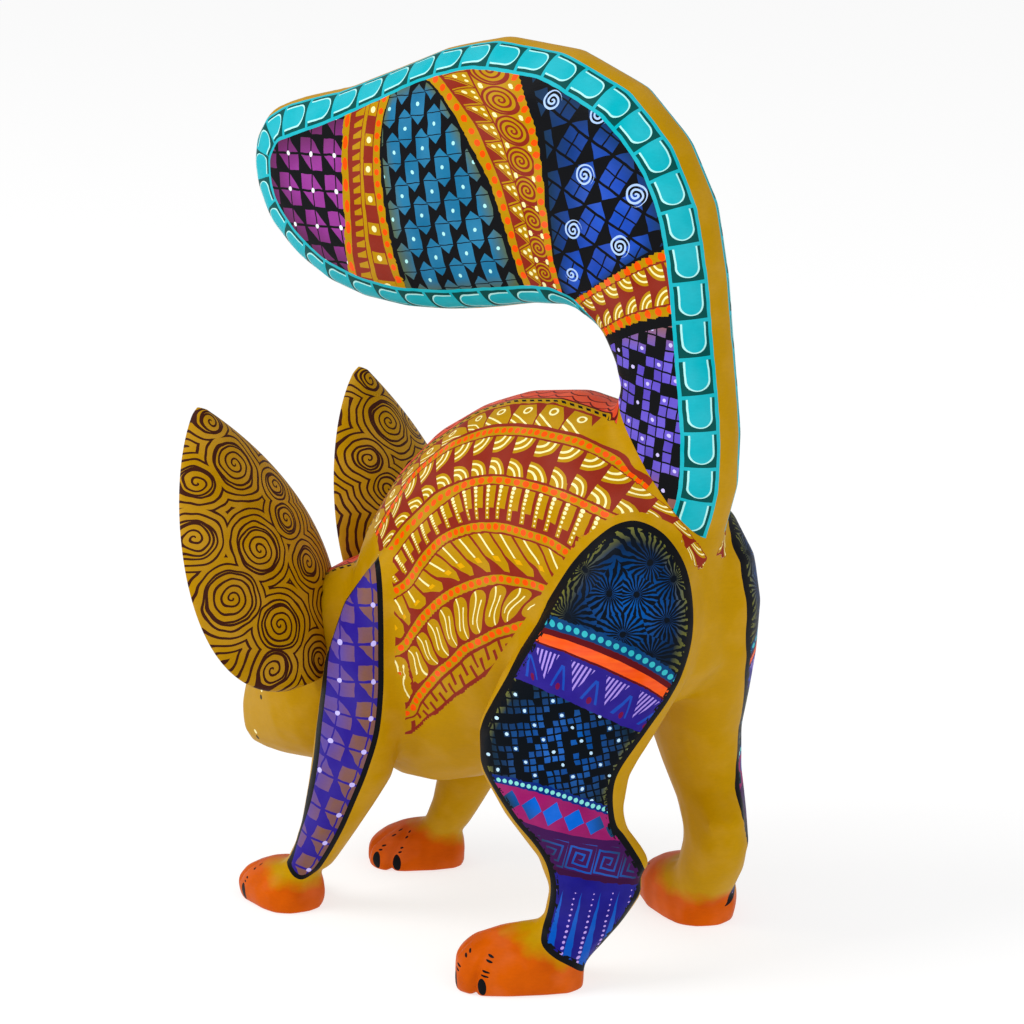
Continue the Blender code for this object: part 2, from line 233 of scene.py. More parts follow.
def leg_cutter(node):
    """The CAD leg with its outer skin moved out, so that it cuts the smooth carving along the glue seam."""
    obj = welded(copy_of(node, "cut_" + node))
    mesh = obj.data
    points = coords(obj)
    inner = nearest_distance(points, "torso") < 0.45 * MM
    push = np.zeros_like(points)
    for polygon in mesh.polygons:
        ids = list(polygon.vertices)
        if not inner[ids].all():
            push[ids] += np.array(polygon.normal) * polygon.area
    length = np.linalg.norm(push, axis=1)
    outer = length > 0
    push[outer] /= length[outer, None]
    set_coords(obj, points + push * 1.5 * MM)
    return obj


def trees_of(obj):
    """The whole carving in mm, as it is and mirrored, for rays and nearest points."""
    points, faces = coords(obj) / MM, [p.vertices[:] for p in obj.data.polygons]
    trees = {}
    for name, side in (("left", 1), ("right", -1)):
        corners = [Vector(p) for p in points * np.array((side, 1, 1))]
        trees[name] = BVHTree.FromPolygons(corners, [face[::side] for face in faces])
    return trees


def paw_frame(centre, heading):
    """Where a paw's toes fan out from, the way it points, and the way out from there, seen from above."""
    turn = math.radians(heading)
    return np.array(centre,
                    float), np.array((math.sin(turn), -math.cos(turn))), np.array((math.cos(turn),
                            math.sin(turn)))


PAWS = {"foreleg_left": paw_frame((29.7, -57.7), -25), "foreleg_right": paw_frame((26.2, -47.4), -38),
        "hind_leg_left": paw_frame((46.7, 44.1), 38), "hind_leg_right": paw_frame((48.3, 45.3), 38)}
# The angles of each paw's toes and of the creases between them
HIND_TOES, HIND_CREASES = (-66, -22, 22, 66), (-54, 0, 54)
FORE_TOES, FORE_CREASES = (-60, -34, 14, 72), (-50, -10, 46)


def paw_place(points, paw):
    """Angle round the paw from the way it points, positive outwards, and distance from the toes' centre."""
    centre, ahead, outward = PAWS[paw]
    rel = np.stack([np.abs(points[:, 0]), points[:, 1]], axis=1) - centre
    u, w = rel @ ahead, rel @ outward
    return np.degrees(np.arctan2(w, u)), np.hypot(u, w)


def crease_toes(obj):
    """Sinks the grooves between the toes into the paws."""
    points = coords(obj)
    mm, normal = points / MM, normals(obj)
    depth = np.zeros(len(points))
    for paw in PAWS:
        side = mm[:, 0] > 0 if paw.endswith("left") else mm[:, 0] < 0
        angle, reach = paw_place(mm, paw)
        near_by = side & (mm[:, 2] < 15) & (reach < 24) & ((mm[:, 1] > 20) == paw.startswith("hind"))
        for crease in HIND_CREASES if paw.startswith("hind") else FORE_CREASES:
            lean = angle - crease - np.sign(crease) * mm[:, 2] * 0.9
            arc = np.radians(lean) * reach
            fade = np.clip((14.5 - mm[:, 2]) / 5, 0, 1) * np.clip((reach - 5) / 4, 0, 1)
            depth = np.maximum(depth, np.where(near_by, np.exp(-(arc / 0.95) ** 2) * fade, 0) * 1.1)
    set_coords(obj, points - normal * depth[:, None] * MM)


skin = fused_carving()
crease_toes(skin)
CARVING = trees_of(skin)
SMOOTH_POINTS, SMOOTH_NORMALS = coords(skin), normals(skin)
pieces = {}
for leg in LEGS:
    cutter = leg_cutter(leg)
    piece = duplicate(skin, leg + "_painted")
    boolean(piece, cutter, "INTERSECT")
    boolean(skin, cutter, "DIFFERENCE")
    discard(cutter)
    pieces[leg] = piece


# ---------------------------------------- joints: tail plane, pegs and sockets

TAIL_POINT = Vector((0, 74 + SHIFT_Y, 156)) * MM
TAIL_AXIS = Vector((0, 0.79, 0.61)).normalized()
TAIL_CUT = ((53.15, 183), (-300, 183), (-300, 500), (500, 500), (500, -395))
TAIL_PEG = (6.0, 18.0)          # radius and length, mm
EAR_PEG = (2.8, 13.0)
EAR_PEG_POINT = Vector((20, -53.6 + SHIFT_Y, 101)) * MM
EAR_PEG_AXIS = Vector((0.59, -0.32, 0.74)).normalized()
EAR_FOOT = np.array((32, -45 + SHIFT_Y, 74.5))
EAR_TIP = np.array((39.2, -82.7 + SHIFT_Y, 160))
EAR_HALF_WIDTH, EAR_HALF_THICKNESS, EAR_CUP, EAR_BOW = 31.3, 4.3, 0.22, 5.5
CLEARANCE = 0.3 * MM


def prism(name, outline, half_width, push=0.0):
    """A closed prism along X over a (y, z) outline in mm, moved along the tail's own axis."""
    shift = np.array(TAIL_AXIS) * push
    ring = [np.array((0, y + SHIFT_Y, z)) * MM + shift for y, z in outline]
    count = len(ring)
    verts = [p + np.array((side * half_width, 0, 0)) for side in (-1, 1) for p in ring]
    faces = [[(k + 1) % count, k, k + count, (k + 1) % count + count] for k in range(count)]
    faces += [list(range(count)), list(range(2 * count - 1, count - 1, -1))]
    return outward(new_object(name, verts, faces))


def outward(obj):
    bm = bmesh.new()
    bm.from_mesh(obj.data)
    bmesh.ops.recalc_face_normals(bm, faces=bm.faces)
    bm.to_mesh(obj.data)
    bm.free()
    return obj


def cylinder(name, start, end, radius, sides=64, chamfer=0.0):
    """A closed round bar from start to end, with an optional chamfer at its end."""
    start, end = Vector(start), Vector(end)
    axis = (end - start).normalized()
    side = axis.orthogonal().normalized()
    other = axis.cross(side)
    rows = [(start, radius), (end - axis * chamfer, radius)]
    if chamfer:
        rows.append((end, radius - chamfer))
    verts = []
    for centre, r in rows:
        for k in range(sides):
            turn = 2 * math.pi * k / sides
            verts.append(centre + side * r * math.cos(turn) + other * r * math.sin(turn))
    faces = [[i * sides + k, i * sides + (k + 1) % sides, (i + 1) * sides + (k + 1) % sides, (i + 1)
              * sides + k]
             for i in range(len(rows) - 1) for k in range(sides)]
    faces += [list(range(sides - 1, -1, -1)), list(range((len(rows) - 1) * sides, len(rows) * sides))]
    return outward(new_object(name, verts, faces))


def split_tail(skin):
    """The tail leaves the torso at its slanted plane and keeps a round peg."""
    cutter = prism("tail_side", TAIL_CUT, 0.2, 0.02 * MM)
    tail = duplicate(skin, "tail_painted")
    boolean(tail, cutter, "INTERSECT")
    torso_cutter = prism("torso_side", TAIL_CUT, 0.2, -0.02 * MM)
    boolean(skin, torso_cutter, "DIFFERENCE")
    radius, length = TAIL_PEG[0] * MM, TAIL_PEG[1] * MM
    peg = cylinder("peg", TAIL_POINT + TAIL_AXIS * 4 * MM, TAIL_POINT - TAIL_AXIS * length, radius,
                   chamfer=0.8 * MM)
    boolean(tail, peg, "UNION")
    hole = cylinder("hole", TAIL_POINT + TAIL_AXIS * 9 * MM, TAIL_POINT - TAIL_AXIS * (length + 0.6 * MM),
                    radius + CLEARANCE)
    boolean(skin, hole, "DIFFERENCE")
    discard(cutter, torso_cutter, peg, hole)
    return tail


def ear_blank(name, side, steps=90, sides=112):
    """A pointed, cupped leaf of curved lens sections."""
    length = np.linalg.norm(EAR_TIP - EAR_FOOT)
    axis = (EAR_TIP - EAR_FOOT) / length
    back = np.array((0, 1.0, 0)) - axis[1] * axis
    back /= np.linalg.norm(back)
    across = np.cross(axis, back)
    widest = 0.48 / 1.30
    full = widest ** 0.48 * (1 - widest) ** 0.82
    verts = []
    turns = 2 * math.pi * np.arange(sides) / sides
    for i in range(steps + 1):
        share = 0.004 + 0.9955 * (0.5 - 0.5 * math.cos(math.pi * i / steps))
        half = EAR_HALF_WIDTH * share ** 0.48 * (1 - share) ** 0.82 / full
        centre = EAR_FOOT + axis * share * length + back * EAR_BOW * math.sin(math.pi * share)
        thick = min(EAR_HALF_THICKNESS * (1.1 - 0.6 * share), 0.8 * half)
        reach, rise = np.cos(turns), np.sin(turns)
        ring = centre + np.outer(half * reach, across) + np.outer(thick * rise - EAR_CUP * half
                * reach ** 2, back)
        ring[:, 0] *= side
        verts.append(ring * MM)
    verts = np.concatenate(verts)
    faces = [[i * sides + k, i * sides + (k + 1) % sides, (i + 1) * sides + (k + 1) % sides, (i + 1)
              * sides + k]
             for i in range(steps) for k in range(sides)]
    faces += [list(range(sides - 1, -1, -1)), list(range(steps * sides, (steps + 1) * sides))]
    return outward(new_object(name, verts, faces))


def fit_ear(skin, side, word):
    ear = ear_blank("ear_%s_painted" % word, side)
    boolean(ear, skin, "DIFFERENCE")
    point = Vector((side * EAR_PEG_POINT.x, EAR_PEG_POINT.y, EAR_PEG_POINT.z))
    axis = Vector((side * EAR_PEG_AXIS.x, EAR_PEG_AXIS.y, EAR_PEG_AXIS.z))
    radius, length = EAR_PEG[0] * MM, EAR_PEG[1] * MM
    peg = cylinder("peg", point + axis * 6 * MM, point - axis * length, radius, chamfer=0.5 * MM)
    boolean(ear, peg, "UNION")
    hole = cylinder("hole", point + axis * 20 * MM, point - axis * (length + 0.3 * MM), radius + CLEARANCE)
    boolean(skin, hole, "DIFFERENCE")
    discard(peg, hole)
    return ear


torso = skin
torso.name = "torso_painted"
tail = split_tail(torso)
pieces["torso"], pieces["tail"] = torso, tail
for side, word in ((1, "left"), (-1, "right")):
    pieces["ear_" + word] = fit_ear(torso, side, word)
for name, obj in pieces.items():
    largest_part(obj)


# ---------------------------------------- drawn curves carried to the surface

# The leg panels are drawn in an upright plane turned 38 degrees from the side plane
COS38, SIN38 = math.cos(math.radians(38)), math.sin(math.radians(38))


def spline(points, step=0.5, closed=False):
    """A smooth curve through the points, as a dense polyline."""
    pts = np.array(points, float)
    if closed:
        ext = np.concatenate([pts[-1:], pts, pts[:2]])
    else:
        ext = np.concatenate([2 * pts[:1] - pts[1:2], pts, 2 * pts[-1:] - pts[-2:-1]])
    out = []
    for a, b, c, d in zip(ext, ext[1:], ext[2:], ext[3:]):
        t = np.linspace(0, 1, max(2, int(np.linalg.norm(c - b) / step)), endpoint=False)[:, None]
        out.append(0.5 * (2 * b + (c - a) * t + (2 * a - 5 * b + 4 * c - d) * t ** 2
                          + (3 * b - a - 3 * c + d) * t ** 3))
    if not closed:
        out.append(pts[-1:])
    return np.concatenate(out)


class Surface:
    """A piece's vertices, folded onto the left side, in mm, with rays that lift curves onto the carving."""

    def __init__(self, obj):
        self.obj = obj
        self.at = coords(obj) / MM
        self.normal = normals(obj)
        side = np.where(self.at[:, 0] < 0, -1.0, 1.0)
        self.fold = self.at.copy()
        self.fold[:, 0] = np.abs(self.fold[:, 0])
        self.fold_normal = self.normal.copy()
        self.fold_normal[:, 0] *= side
        self.tree = CARVING["right" if self.at[:, 0].mean() < -3 else "left"]
        self.flat_hind = np.stack([self.fold[:, 1] * COS38 - self.fold[:, 0] * SIN38, self.fold[:, 2]],
                                  axis=1)
        self.hind_out = self.fold[:, 0] * COS38 + self.fold[:, 1] * SIN38

    def lift(self, point, frame_name):
        """A point drawn from the side, (y, z), or from above, (x, y), dropped onto the carving."""
        if len(point) == 3:
            return self.tree.find_nearest(Vector(point))[0]
        a, b = point
        if frame_name == "yz":
            start, way = Vector((90, a, b)), Vector((-1, 0, 0))
        else:
            start, way = Vector((a, b, 300 if b > 90 else 179)), Vector((0, 0, -1))
        hit = self.tree.ray_cast(start, way)[0]
        return hit if hit is not None else self.tree.find_nearest(start + way * 80)[0]

    def curve(self, points, frame_name):
        """A smooth curve through drawn points, lying on the carving."""
        line = spline([self.lift(p, frame_name) for p in points])
        return np.array([self.tree.find_nearest(Vector(p))[0] for p in line])

    def store_bands(self, name, level, shares, widths):
        """What levels works out, for the paint to read."""
        self.store(name, level, *shares)
        self.store(name + "_width", *widths)

    def store_depth(self):
        """How far each vertex lies under the skin of the uncut carving, where wood is left bare."""
        depths = []
        for point in self.fold:
            spot, outward, _, distance = self.tree.find_nearest(Vector(point))
            depths.append(distance if (Vector(point) - spot).dot(outward) < 0 else 0)
        self.store("depth", depths)

    def store(self, name, *columns):
        """Up to three numbers per vertex, for the paint to read."""
        data = np.stack([np.asarray(c, float) for c in columns] + [np.zeros(len(self.at))]
                        * (3 - len(columns)), axis=1)
        layer = self.obj.data.attributes.new(name, "FLOAT_VECTOR", "POINT")
        layer.data.foreach_set("vector", data.astype(np.float32).ravel())


def trace(points, curve):
    """Per point: arc length along the curve, the offset from its nearest spot there, and the way it runs."""
    steps = np.diff(curve, axis=0)
    length = np.linalg.norm(steps, axis=1)
    start = np.concatenate([[0], np.cumsum(length)])
    middle = ((curve[1:] + curve[:-1]) / 2).astype(np.float32)
    best = np.empty(len(points), int)
    for k in range(0, len(points), 20000):
        p = points[k:k + 20000].astype(np.float32)
        best[k:k + 20000] = np.argmin((middle ** 2).sum(1)[None] - 2 * p @ middle.T, axis=1)
    a, d = curve[best], steps[best]
    t = np.clip(((points - a) * d).sum(1) / (length[best] ** 2 + 1e-12), 0, 1)
    foot = a + d * t[:, None]
    return start[best] + t * length[best], points - foot, d / (length[best][:, None] + 1e-12), start[-1]


def signed(points, normal, curve):
    """Arc length, running on past both ends, the curve's length, and the distance: positive to its left."""
    s, offset, way, total = trace(points, curve)
    side = np.sign((np.cross(normal, way) * offset).sum(1))
    beyond = (s < 1e-6) | (s > total - 1e-6)
    s = s + np.where(beyond, (offset * way).sum(1), 0)
    return s, total, np.linalg.norm(offset, axis=1) * np.where(side == 0, 1, side)


OPEN_BAND = 60.0         # the width given to the bands before the first curve and after the last, mm
THIN_BAND = 4.5          # a band narrower than this follows its first curve only, mm


def by_turns(level, values):
    """The value of the nearest even band, then of the nearest odd band: neither jumps at an edge."""
    values = np.array(values)
    picks = []
    for odd in (0, 1):
        top = len(values) - 1 - (len(values) - 1 - odd) % 2
        band = np.clip(odd + 2 * np.floor((level + 0.5 - odd) / 2), odd, top).astype(int)
        picks.append(values[band, np.arange(len(level))])
    return picks


def levels(rows, turn=1.0, leans=None):
    """Band number plus the share across the band, the shares along it and the band's local widths, both
    for the nearest even and the nearest odd band. Rows are the signed distances to each curve. Leans tilt
    each band's cells from square to its first curve, at the start and at the end; without them, cells join
    equal shares."""
    level = np.clip(1 + rows[0][2] * turn / OPEN_BAND, 0, 1)
    wide = np.full(len(level), OPEN_BAND)
    shares, widths = [rows[0][0] / rows[0][1]], [wide]
    for index, ((arc, total, dist_a), (_, _, dist_b)) in enumerate(zip(rows, rows[1:])):
        near_by, far = dist_a * turn, dist_b * turn
        span = np.maximum(near_by - far, 0.05)
        level += np.clip(near_by / span, 0, 1)
        if leans:
            first, last = leans[index]
            share = (arc + (first + (last - first) * arc / total) * near_by) / total
        else:
            across = np.where(span < THIN_BAND, 0, np.clip(near_by / span, 0, 1))
            share = arc / total * (1 - across) + rows[index + 1][0] / rows[index + 1][1] * across
        shares.append(share)
        widths.append(span)
    level += np.clip(rows[-1][2] * turn / OPEN_BAND, 0, 1)
    shares.append(rows[-1][0] / rows[-1][1])
    widths.append(wide)
    return level, by_turns(level, shares), by_turns(level, widths)


def flat(points):
    """Points of a side plane as 3-D points, with the plane facing out."""
    points = np.asarray(points, float)
    return np.concatenate([points, np.zeros((len(points), 1))], axis=1)


def flat_rows(points, curves):
    """Signed distances from points of a side plane to curves drawn in it."""
    at = flat(points)
    facing = np.tile((0.0, 0.0, 1.0), (len(at), 1))
    return [signed(at, facing, flat(spline(curve))) for curve in curves]


def inside_loop(points, loop):
    """Even-odd test of 2-D points against a closed polyline."""
    x, y = points[:, 0], points[:, 1]
    inside = np.zeros(len(points), bool)
    for (ax, ay), (bx, by) in zip(loop, np.roll(loop, -1, axis=0)):
        if ay != by:
            crosses = (ay > y) != (by > y)
            inside ^= crosses & (x < (bx - ax) * (y - ay) / (by - ay) + ax)
    return inside


def loop_depth(points, loop, outer):
    """Distance inside a closed outline of a side plane; negative outside it or off the outer skin."""
    line = spline(loop, closed=True)
    _, offset, _, _ = trace(flat(points), flat(np.concatenate([line, line[:1]])))
    good = inside_loop(points, line) & outer
    return np.linalg.norm(offset, axis=1) * np.where(good, 1, -1)


# ---------------------------------------- a small language for painted patterns


def srgb(*colour):
    linear = [((c / 255 + 0.055) / 1.055) ** 2.4 if c > 10 else c / 255 / 12.92 for c in colour]
    return tuple(linear) + (1.0,)


class Num:
    """A number that varies over the surface: one output of a shader node."""

    def __init__(self, socket):
        self.socket = socket

    def __add__(self, other):
        return op("ADD", self, other)

    def __radd__(self, other):
        return op("ADD", other, self)

    def __sub__(self, other):
        return op("SUBTRACT", self, other)

    def __rsub__(self, other):
        return op("SUBTRACT", other, self)

    def __mul__(self, other):
        return op("MULTIPLY", self, other)

    def __rmul__(self, other):
        return op("MULTIPLY", other, self)

    def __truediv__(self, other):
        return op("DIVIDE", self, other)

    def __rtruediv__(self, other):
        return op("DIVIDE", other, self)

    def __gt__(self, other):
        return op("GREATER_THAN", self, other)

    def __lt__(self, other):
        return op("LESS_THAN", self, other)

    def __and__(self, other):
        return op("MULTIPLY", self, other)

    def __or__(self, other):
        return op("MAXIMUM", self, other)

    def __neg__(self):
        return op("MULTIPLY", self, -1.0)

    def __abs__(self):
        return op("ABSOLUTE", self)


class Paint:
    """A material under construction: a running colour that later strokes go over."""

    def __init__(self, name, base):
        self.material = bpy.data.materials.new(name)
        self.material.use_nodes = True
        self.tree = self.material.node_tree
        self.shader = self.tree.nodes["Principled BSDF"]
        Paint.current = self
        place = self.node("ShaderNodeTexCoord").outputs["Object"]
        self.point = self.vector("MULTIPLY", place, (1000, 1000, 1000))
        self.x, self.y, self.z = self.split(self.point)
        self.colour = base

    def node(self, kind):
        return self.tree.nodes.new(kind)

    def vector(self, operation, a, b):
        node = self.node("ShaderNodeVectorMath")
        node.operation = operation
        for socket, value in zip(node.inputs, (a, b)):
            if isinstance(value, bpy.types.NodeSocket):
                self.tree.links.new(value, socket)
            else:
                socket.default_value = value
        return node.outputs[0]

    def split(self, vector):
        node = self.node("ShaderNodeSeparateXYZ")
        self.tree.links.new(vector, node.inputs[0])
        return [Num(out) for out in node.outputs]

    def attribute(self, name):
        node = self.node("ShaderNodeAttribute")
        node.attribute_name = name
        return self.split(node.outputs["Vector"])

    def bands(self, name):
        """Level, shares along and widths, each for even bands and for odd bands."""
        level, *shares = self.attribute(name)
        return level, shares, self.attribute(name + "_width")[:2]

    def noise(self, scale, detail=2.0, stretch=(1, 1, 1), shift=0.0):
        """Noise around zero, about -0.5 to 0.5; scale counts features per mm."""
        place = self.vector("MULTIPLY", self.point, tuple(s * scale for s in stretch))
        if shift:
            place = self.vector("ADD", place, (shift, shift, shift))
        node = self.node("ShaderNodeTexNoise")
        node.inputs["Scale"].default_value = 1.0
        node.inputs["Detail"].default_value = detail
        self.tree.links.new(place, node.inputs["Vector"])
        return Num(node.outputs[0]) - 0.5

    def lay(self, mask, colour):
        self.colour = blend(mask, self.colour, colour)

    def finish(self, *objects, bare=True):
        """Brush marks in colour, gloss and height, then onto the objects."""
        if bare:
            depth, _, _ = self.attribute("depth")
            self.lay(ramp(depth, 1.3, 1.7), wood(self))
        streaks = self.noise(1.1, 3.0, (0.5, 0.5, 1.6))
        mottle = self.noise(0.09, 2.0, shift=7.0)
        shade = self.node("ShaderNodeHueSaturation")
        feed(shade.inputs["Value"], 1.0 + streaks * 0.16 + mottle * 0.22)
        feed(shade.inputs["Saturation"], 1.0 - mottle * 0.12)
        put_colour(shade.inputs["Color"], self.colour)
        self.tree.links.new(shade.outputs[0], self.shader.inputs["Base Color"])
        feed(self.shader.inputs["Roughness"], 0.43 + streaks * 0.14 + mottle * 0.10)
        self.shader.inputs["Specular IOR Level"].default_value = 0.04
        bump = self.node("ShaderNodeBump")
        bump.inputs["Strength"].default_value = 0.35
        bump.inputs["Distance"].default_value = 0.00012
        feed(bump.inputs["Height"], streaks + self.noise(3.2, 2.0) * 0.5)
        self.tree.links.new(bump.outputs[0], self.shader.inputs["Normal"])
        for obj in objects:
            obj.data.materials.clear()
            obj.data.materials.append(self.material)
            obj.data.polygons.foreach_set("material_index", [0] * len(obj.data.polygons))


def feed(socket, value):
    if isinstance(value, Num):
        Paint.current.tree.links.new(value.socket, socket)
    else:
        socket.default_value = value


def put_colour(socket, value):
    if isinstance(value, tuple):
        socket.default_value = value
    else:
        Paint.current.tree.links.new(value, socket)


def op(operation, *values):
    node = Paint.current.node("ShaderNodeMath")
    node.operation = operation
    for socket, value in zip(node.inputs, values):
        feed(socket, value)
    return Num(node.outputs[0])


def blend(mask, under, over):
    node = Paint.current.node("ShaderNodeMix")
    node.data_type = "RGBA"
    feed(node.inputs[0], mask)
    put_colour(node.inputs[6], under)
    put_colour(node.inputs[7], over)
    return node.outputs[2]


def frac(a):
    return op("FRACT", a)


def floor(a):
    return op("FLOOR", a)


def root(a):
    return op("SQRT", a)


def least(a, b):
    return op("MINIMUM", a, b)


def near(a, b, width):
    return op("COMPARE", a, b, width)


def between(a, low, high):
    return (a > low) & (a < high)


def ramp(a, low, high):
    return op("MINIMUM", op("MAXIMUM", (a - low) / (high - low), 0.0), 1.0)


def disc(x, y, radius):
    return x * x + y * y < radius * radius


def wood(coat):
    """Pale copal wood: wavy growth rings along the grain and fine dark pores."""
    rings = frac(root(coat.x * coat.x + coat.z * coat.z * 0.6) * 0.55 + coat.noise(0.12, 2.0) * 2.2)
    tone = blend(abs(rings - 0.5) * 1.6, srgb(196, 158, 108), srgb(222, 190, 144))
    pores = coat.noise(1.6, 2.0, (1.0, 0.12, 1.0)) > 0.16
    return blend(pores, tone, srgb(168, 128, 84))


def spiral(x, y, radius, pitch, line, turn=1.0):
    """A line winding out from a centre."""
    reach = root(x * x + y * y)
    angle = op("ARCTAN2", y, x) * (turn / (2 * math.pi))
    return near(frac(reach / pitch - angle), 0.5, line / pitch / 2) & (reach < radius)


# ---------------------------------------------------------------- the colours of the paint box

MUSTARD = srgb(184, 138, 6)
BRICK = srgb(140, 44, 30)
ORANGE = srgb(250, 84, 18)
CREAM = srgb(250, 242, 178)
BLACK = srgb(16, 17, 20)
TURQUOISE = srgb(30, 178, 192)
DEEP_GREEN = srgb(6, 78, 76)
AQUA = srgb(178, 240, 238)
WHITE = srgb(240, 238, 245)

# ---------------------------------------- band patterns, in cells along and share across


def dotted(coat, gate, along, across, width, pitch, radius, colour, at=0.5):
    """A row of dots along a band."""
    coat.lay(gate & disc((frac(along) - 0.5) * pitch, (across - at) * width, radius), colour)


def leaves(coat, gate, along, across):
    """Two facing rows of quarter leaves with pale arcs."""
    f = frac(along)
    for share in (across, 1.0 - across):
        reach = root((f - 0.06) * (f - 0.06) * 1.35 + share * share * 5.2)
        body = gate & (reach < 1.0) & (f > 0.06)
        coat.lay(body, MUSTARD)
        coat.lay(body & (near(reach, 0.47, 0.055) | near(reach, 0.78, 0.05)), CREAM)


BORDER_START, BORDER_END = 4.7, 15.6       # of the tail's border, mm in from the middle of its edge
BORDER_FIELD = (5.9, 14.6)
BORDER_CELL = 11.2


def tail_border(coat, edge, crest):
    """Turquoise tongues on deep green between two turquoise lines, along the tail's whole edge."""
    strip = edge > BORDER_START
    coat.lay(strip, TURQUOISE)
    coat.lay(strip & between(edge, *BORDER_FIELD), DEEP_GREEN)
    f = 1.0 - frac(crest / BORDER_CELL)
    v = (edge - 10.2) / 4.3
    bar = near(f, 0.0, 0.05) | near(f, 1.0, 0.05)
    coat.lay(strip & between(edge, *BORDER_FIELD) & bar, TURQUOISE)
    length = (f - 0.12) * 1.22

    def tongue(reach, half):
        round_part = op("MAXIMUM", (length - reach + 0.34) / 0.34, 0.0)
        return (v * v / (half * half) + round_part * round_part < 1.0) & (length > -0.1)

    cell = strip & between(f, 0.05, 0.95)
    coat.lay(cell & tongue(0.93, 0.86), DEEP_GREEN)
    coat.lay(cell & tongue(0.90, 0.80), AQUA)
    coat.lay(cell & tongue(0.865, 0.68), TURQUOISE)


def quarter_lattice(coat, gate, p, q, bright, ground, dot, radius, pitch):
    """Cells around each dot: two whole quarters and two half quarters, cut by fine lines."""
    coat.lay(gate, ground)
    fp, fq = frac(p) - 0.5, frac(q) - 0.5
    whole = (abs(fp) < 0.45) & (abs(fq) < 0.45)
    same = (fp * fq < 0.0)
    half = (abs(fp) + abs(fq) < 0.46)
    patch = whole & (same | half)
    lines = near(fp, 0.0, 0.025) | near(fq, 0.0, 0.035)
    coat.lay(gate & patch, bright)
    coat.lay(gate & lines, ground)
    coat.lay(gate & disc(fp * pitch, fq * pitch, radius), dot)


# The tail's edge from its root over the arch to the tip, and back along the inner side. The script
# settles these points on the carving's middle section.
TAIL_OUTLINE = ((88, 138), (94, 151), (94, 169), (93, 187), (91, 204), (89, 222), (84, 239), (77, 253),
                (66, 268), (51, 276), (36, 280), (18, 281), (-1, 278), (-17, 273), (-33, 265), (-53, 258),
                (-69, 254), (-80, 250), (-84, 240), (-85, 231), (-82, 220), (-74, 211), (-58, 200),
                (-42, 196), (-26, 195), (-6, 196), (14, 200), (33, 203), (44, 201), (52, 195), (55, 185))
TAIL_INNER_ROOT = ((57, 176), (58, 165))      # where the inner edge runs into the body
TAIL_BANDS = (
    ((-52, 292), (-46.5, 272), (-43.4, 256), (-42, 240), (-41.1, 230), (-40.4, 220), (-41.5, 206),
     (-42, 196)),
    ((-40.8, 258), (-39.6, 240), (-38.4, 230), (-38, 220), (-38.8, 206)),
    ((-34.6, 260), (-33.9, 240), (-33.2, 230), (-32.3, 220), (-31.8, 206)),
    ((-33.0, 260), (-32.7, 240), (-31.9, 230), (-30.8, 220), (-30.0, 206)),
    ((-28.5, 261), (-28.2, 240), (-26.7, 230), (-24.8, 220), (-22.3, 206)),
    ((-24.6, 263), (-26, 250), (-25.3, 240), (-23.9, 230), (-22, 220), (-19.6, 206)),
    ((-17, 267), (-8, 266), (0, 261.5), (5, 257), (10, 251), (15, 244.5), (19, 238.5), (22, 231),
     (24.5, 224),
     (26.5, 216), (27.7, 209)),
    ((-14, 270), (-5, 268), (3.5, 263), (8, 259.5), (13, 255), (17.5, 248.5), (20.7, 243), (23.9, 236),
     (26.2, 228.5), (28, 221), (30.2, 209)),
    ((2, 274.5), (9.8, 267.2), (16.2, 260.4), (21.6, 254), (24.4, 248.5), (27, 242), (29.4, 235.8),
     (31.6, 228.5),
     (33, 221.3), (34.8, 209)),
    ((17.5, 276), (24.4, 267.6), (28, 262.2), (31.6, 255.8), (33.9, 249.5), (35.3, 241.3), (36.2, 233),
     (37.7, 225), (39.8, 209)),
    ((20, 276), (26.2, 268.5), (29.8, 263), (33.5, 256.7), (35.7, 250.4), (37.4, 242.2), (38.5, 233),
     (39.6, 225),
     (41.2, 209)),
    ((83, 225.5), (75.3, 222.2), (65.3, 216.7), (54.4, 210), (47, 206)),
    ((83.3, 222.6), (75.3, 220), (64.4, 214.5), (53.5, 208.5), (47.5, 205)),
    ((86, 209.1), (78, 207.2), (67, 203.5), (56.2, 198), (51, 196.5)),
    ((86, 206.6), (78, 204.9), (67, 201.3), (56.2, 196.3), (51.5, 194)))
TAIL_SPIRALS = ((38.5, 264.5, 3.0), (54.5, 261.5, 3.2), (52.3, 244, 3.2), (69, 239.5, 3.4),
                (48.5, 227.5, 3.0),
                (64.3, 224, 3.3), (46.7, 213.7, 2.3))


def tail_fields(obj):
    """Where each spot of the tail lies along and across its bands, and along and in from its edge."""
    surface = Surface(obj)
    settled = [surface.tree.find_nearest(Vector((0, y, z)))[0] for y, z in TAIL_OUTLINE]
    crest = spline([(0, point.y, point.z) for point in settled] + [(0, y, z) for y, z in TAIL_INNER_ROOT])
    s, offset, _, _ = trace(surface.fold, crest)
    edge = np.linalg.norm(offset, axis=1)
    edge = edge + 8.5 * np.clip((s - 452) / 25, 0, 1)
    surface.store_bands("bands", *levels(flat_rows(surface.fold[:, 1:], TAIL_BANDS)))
    surface.store_depth()
    surface.store("rim", edge, s)
    return surface


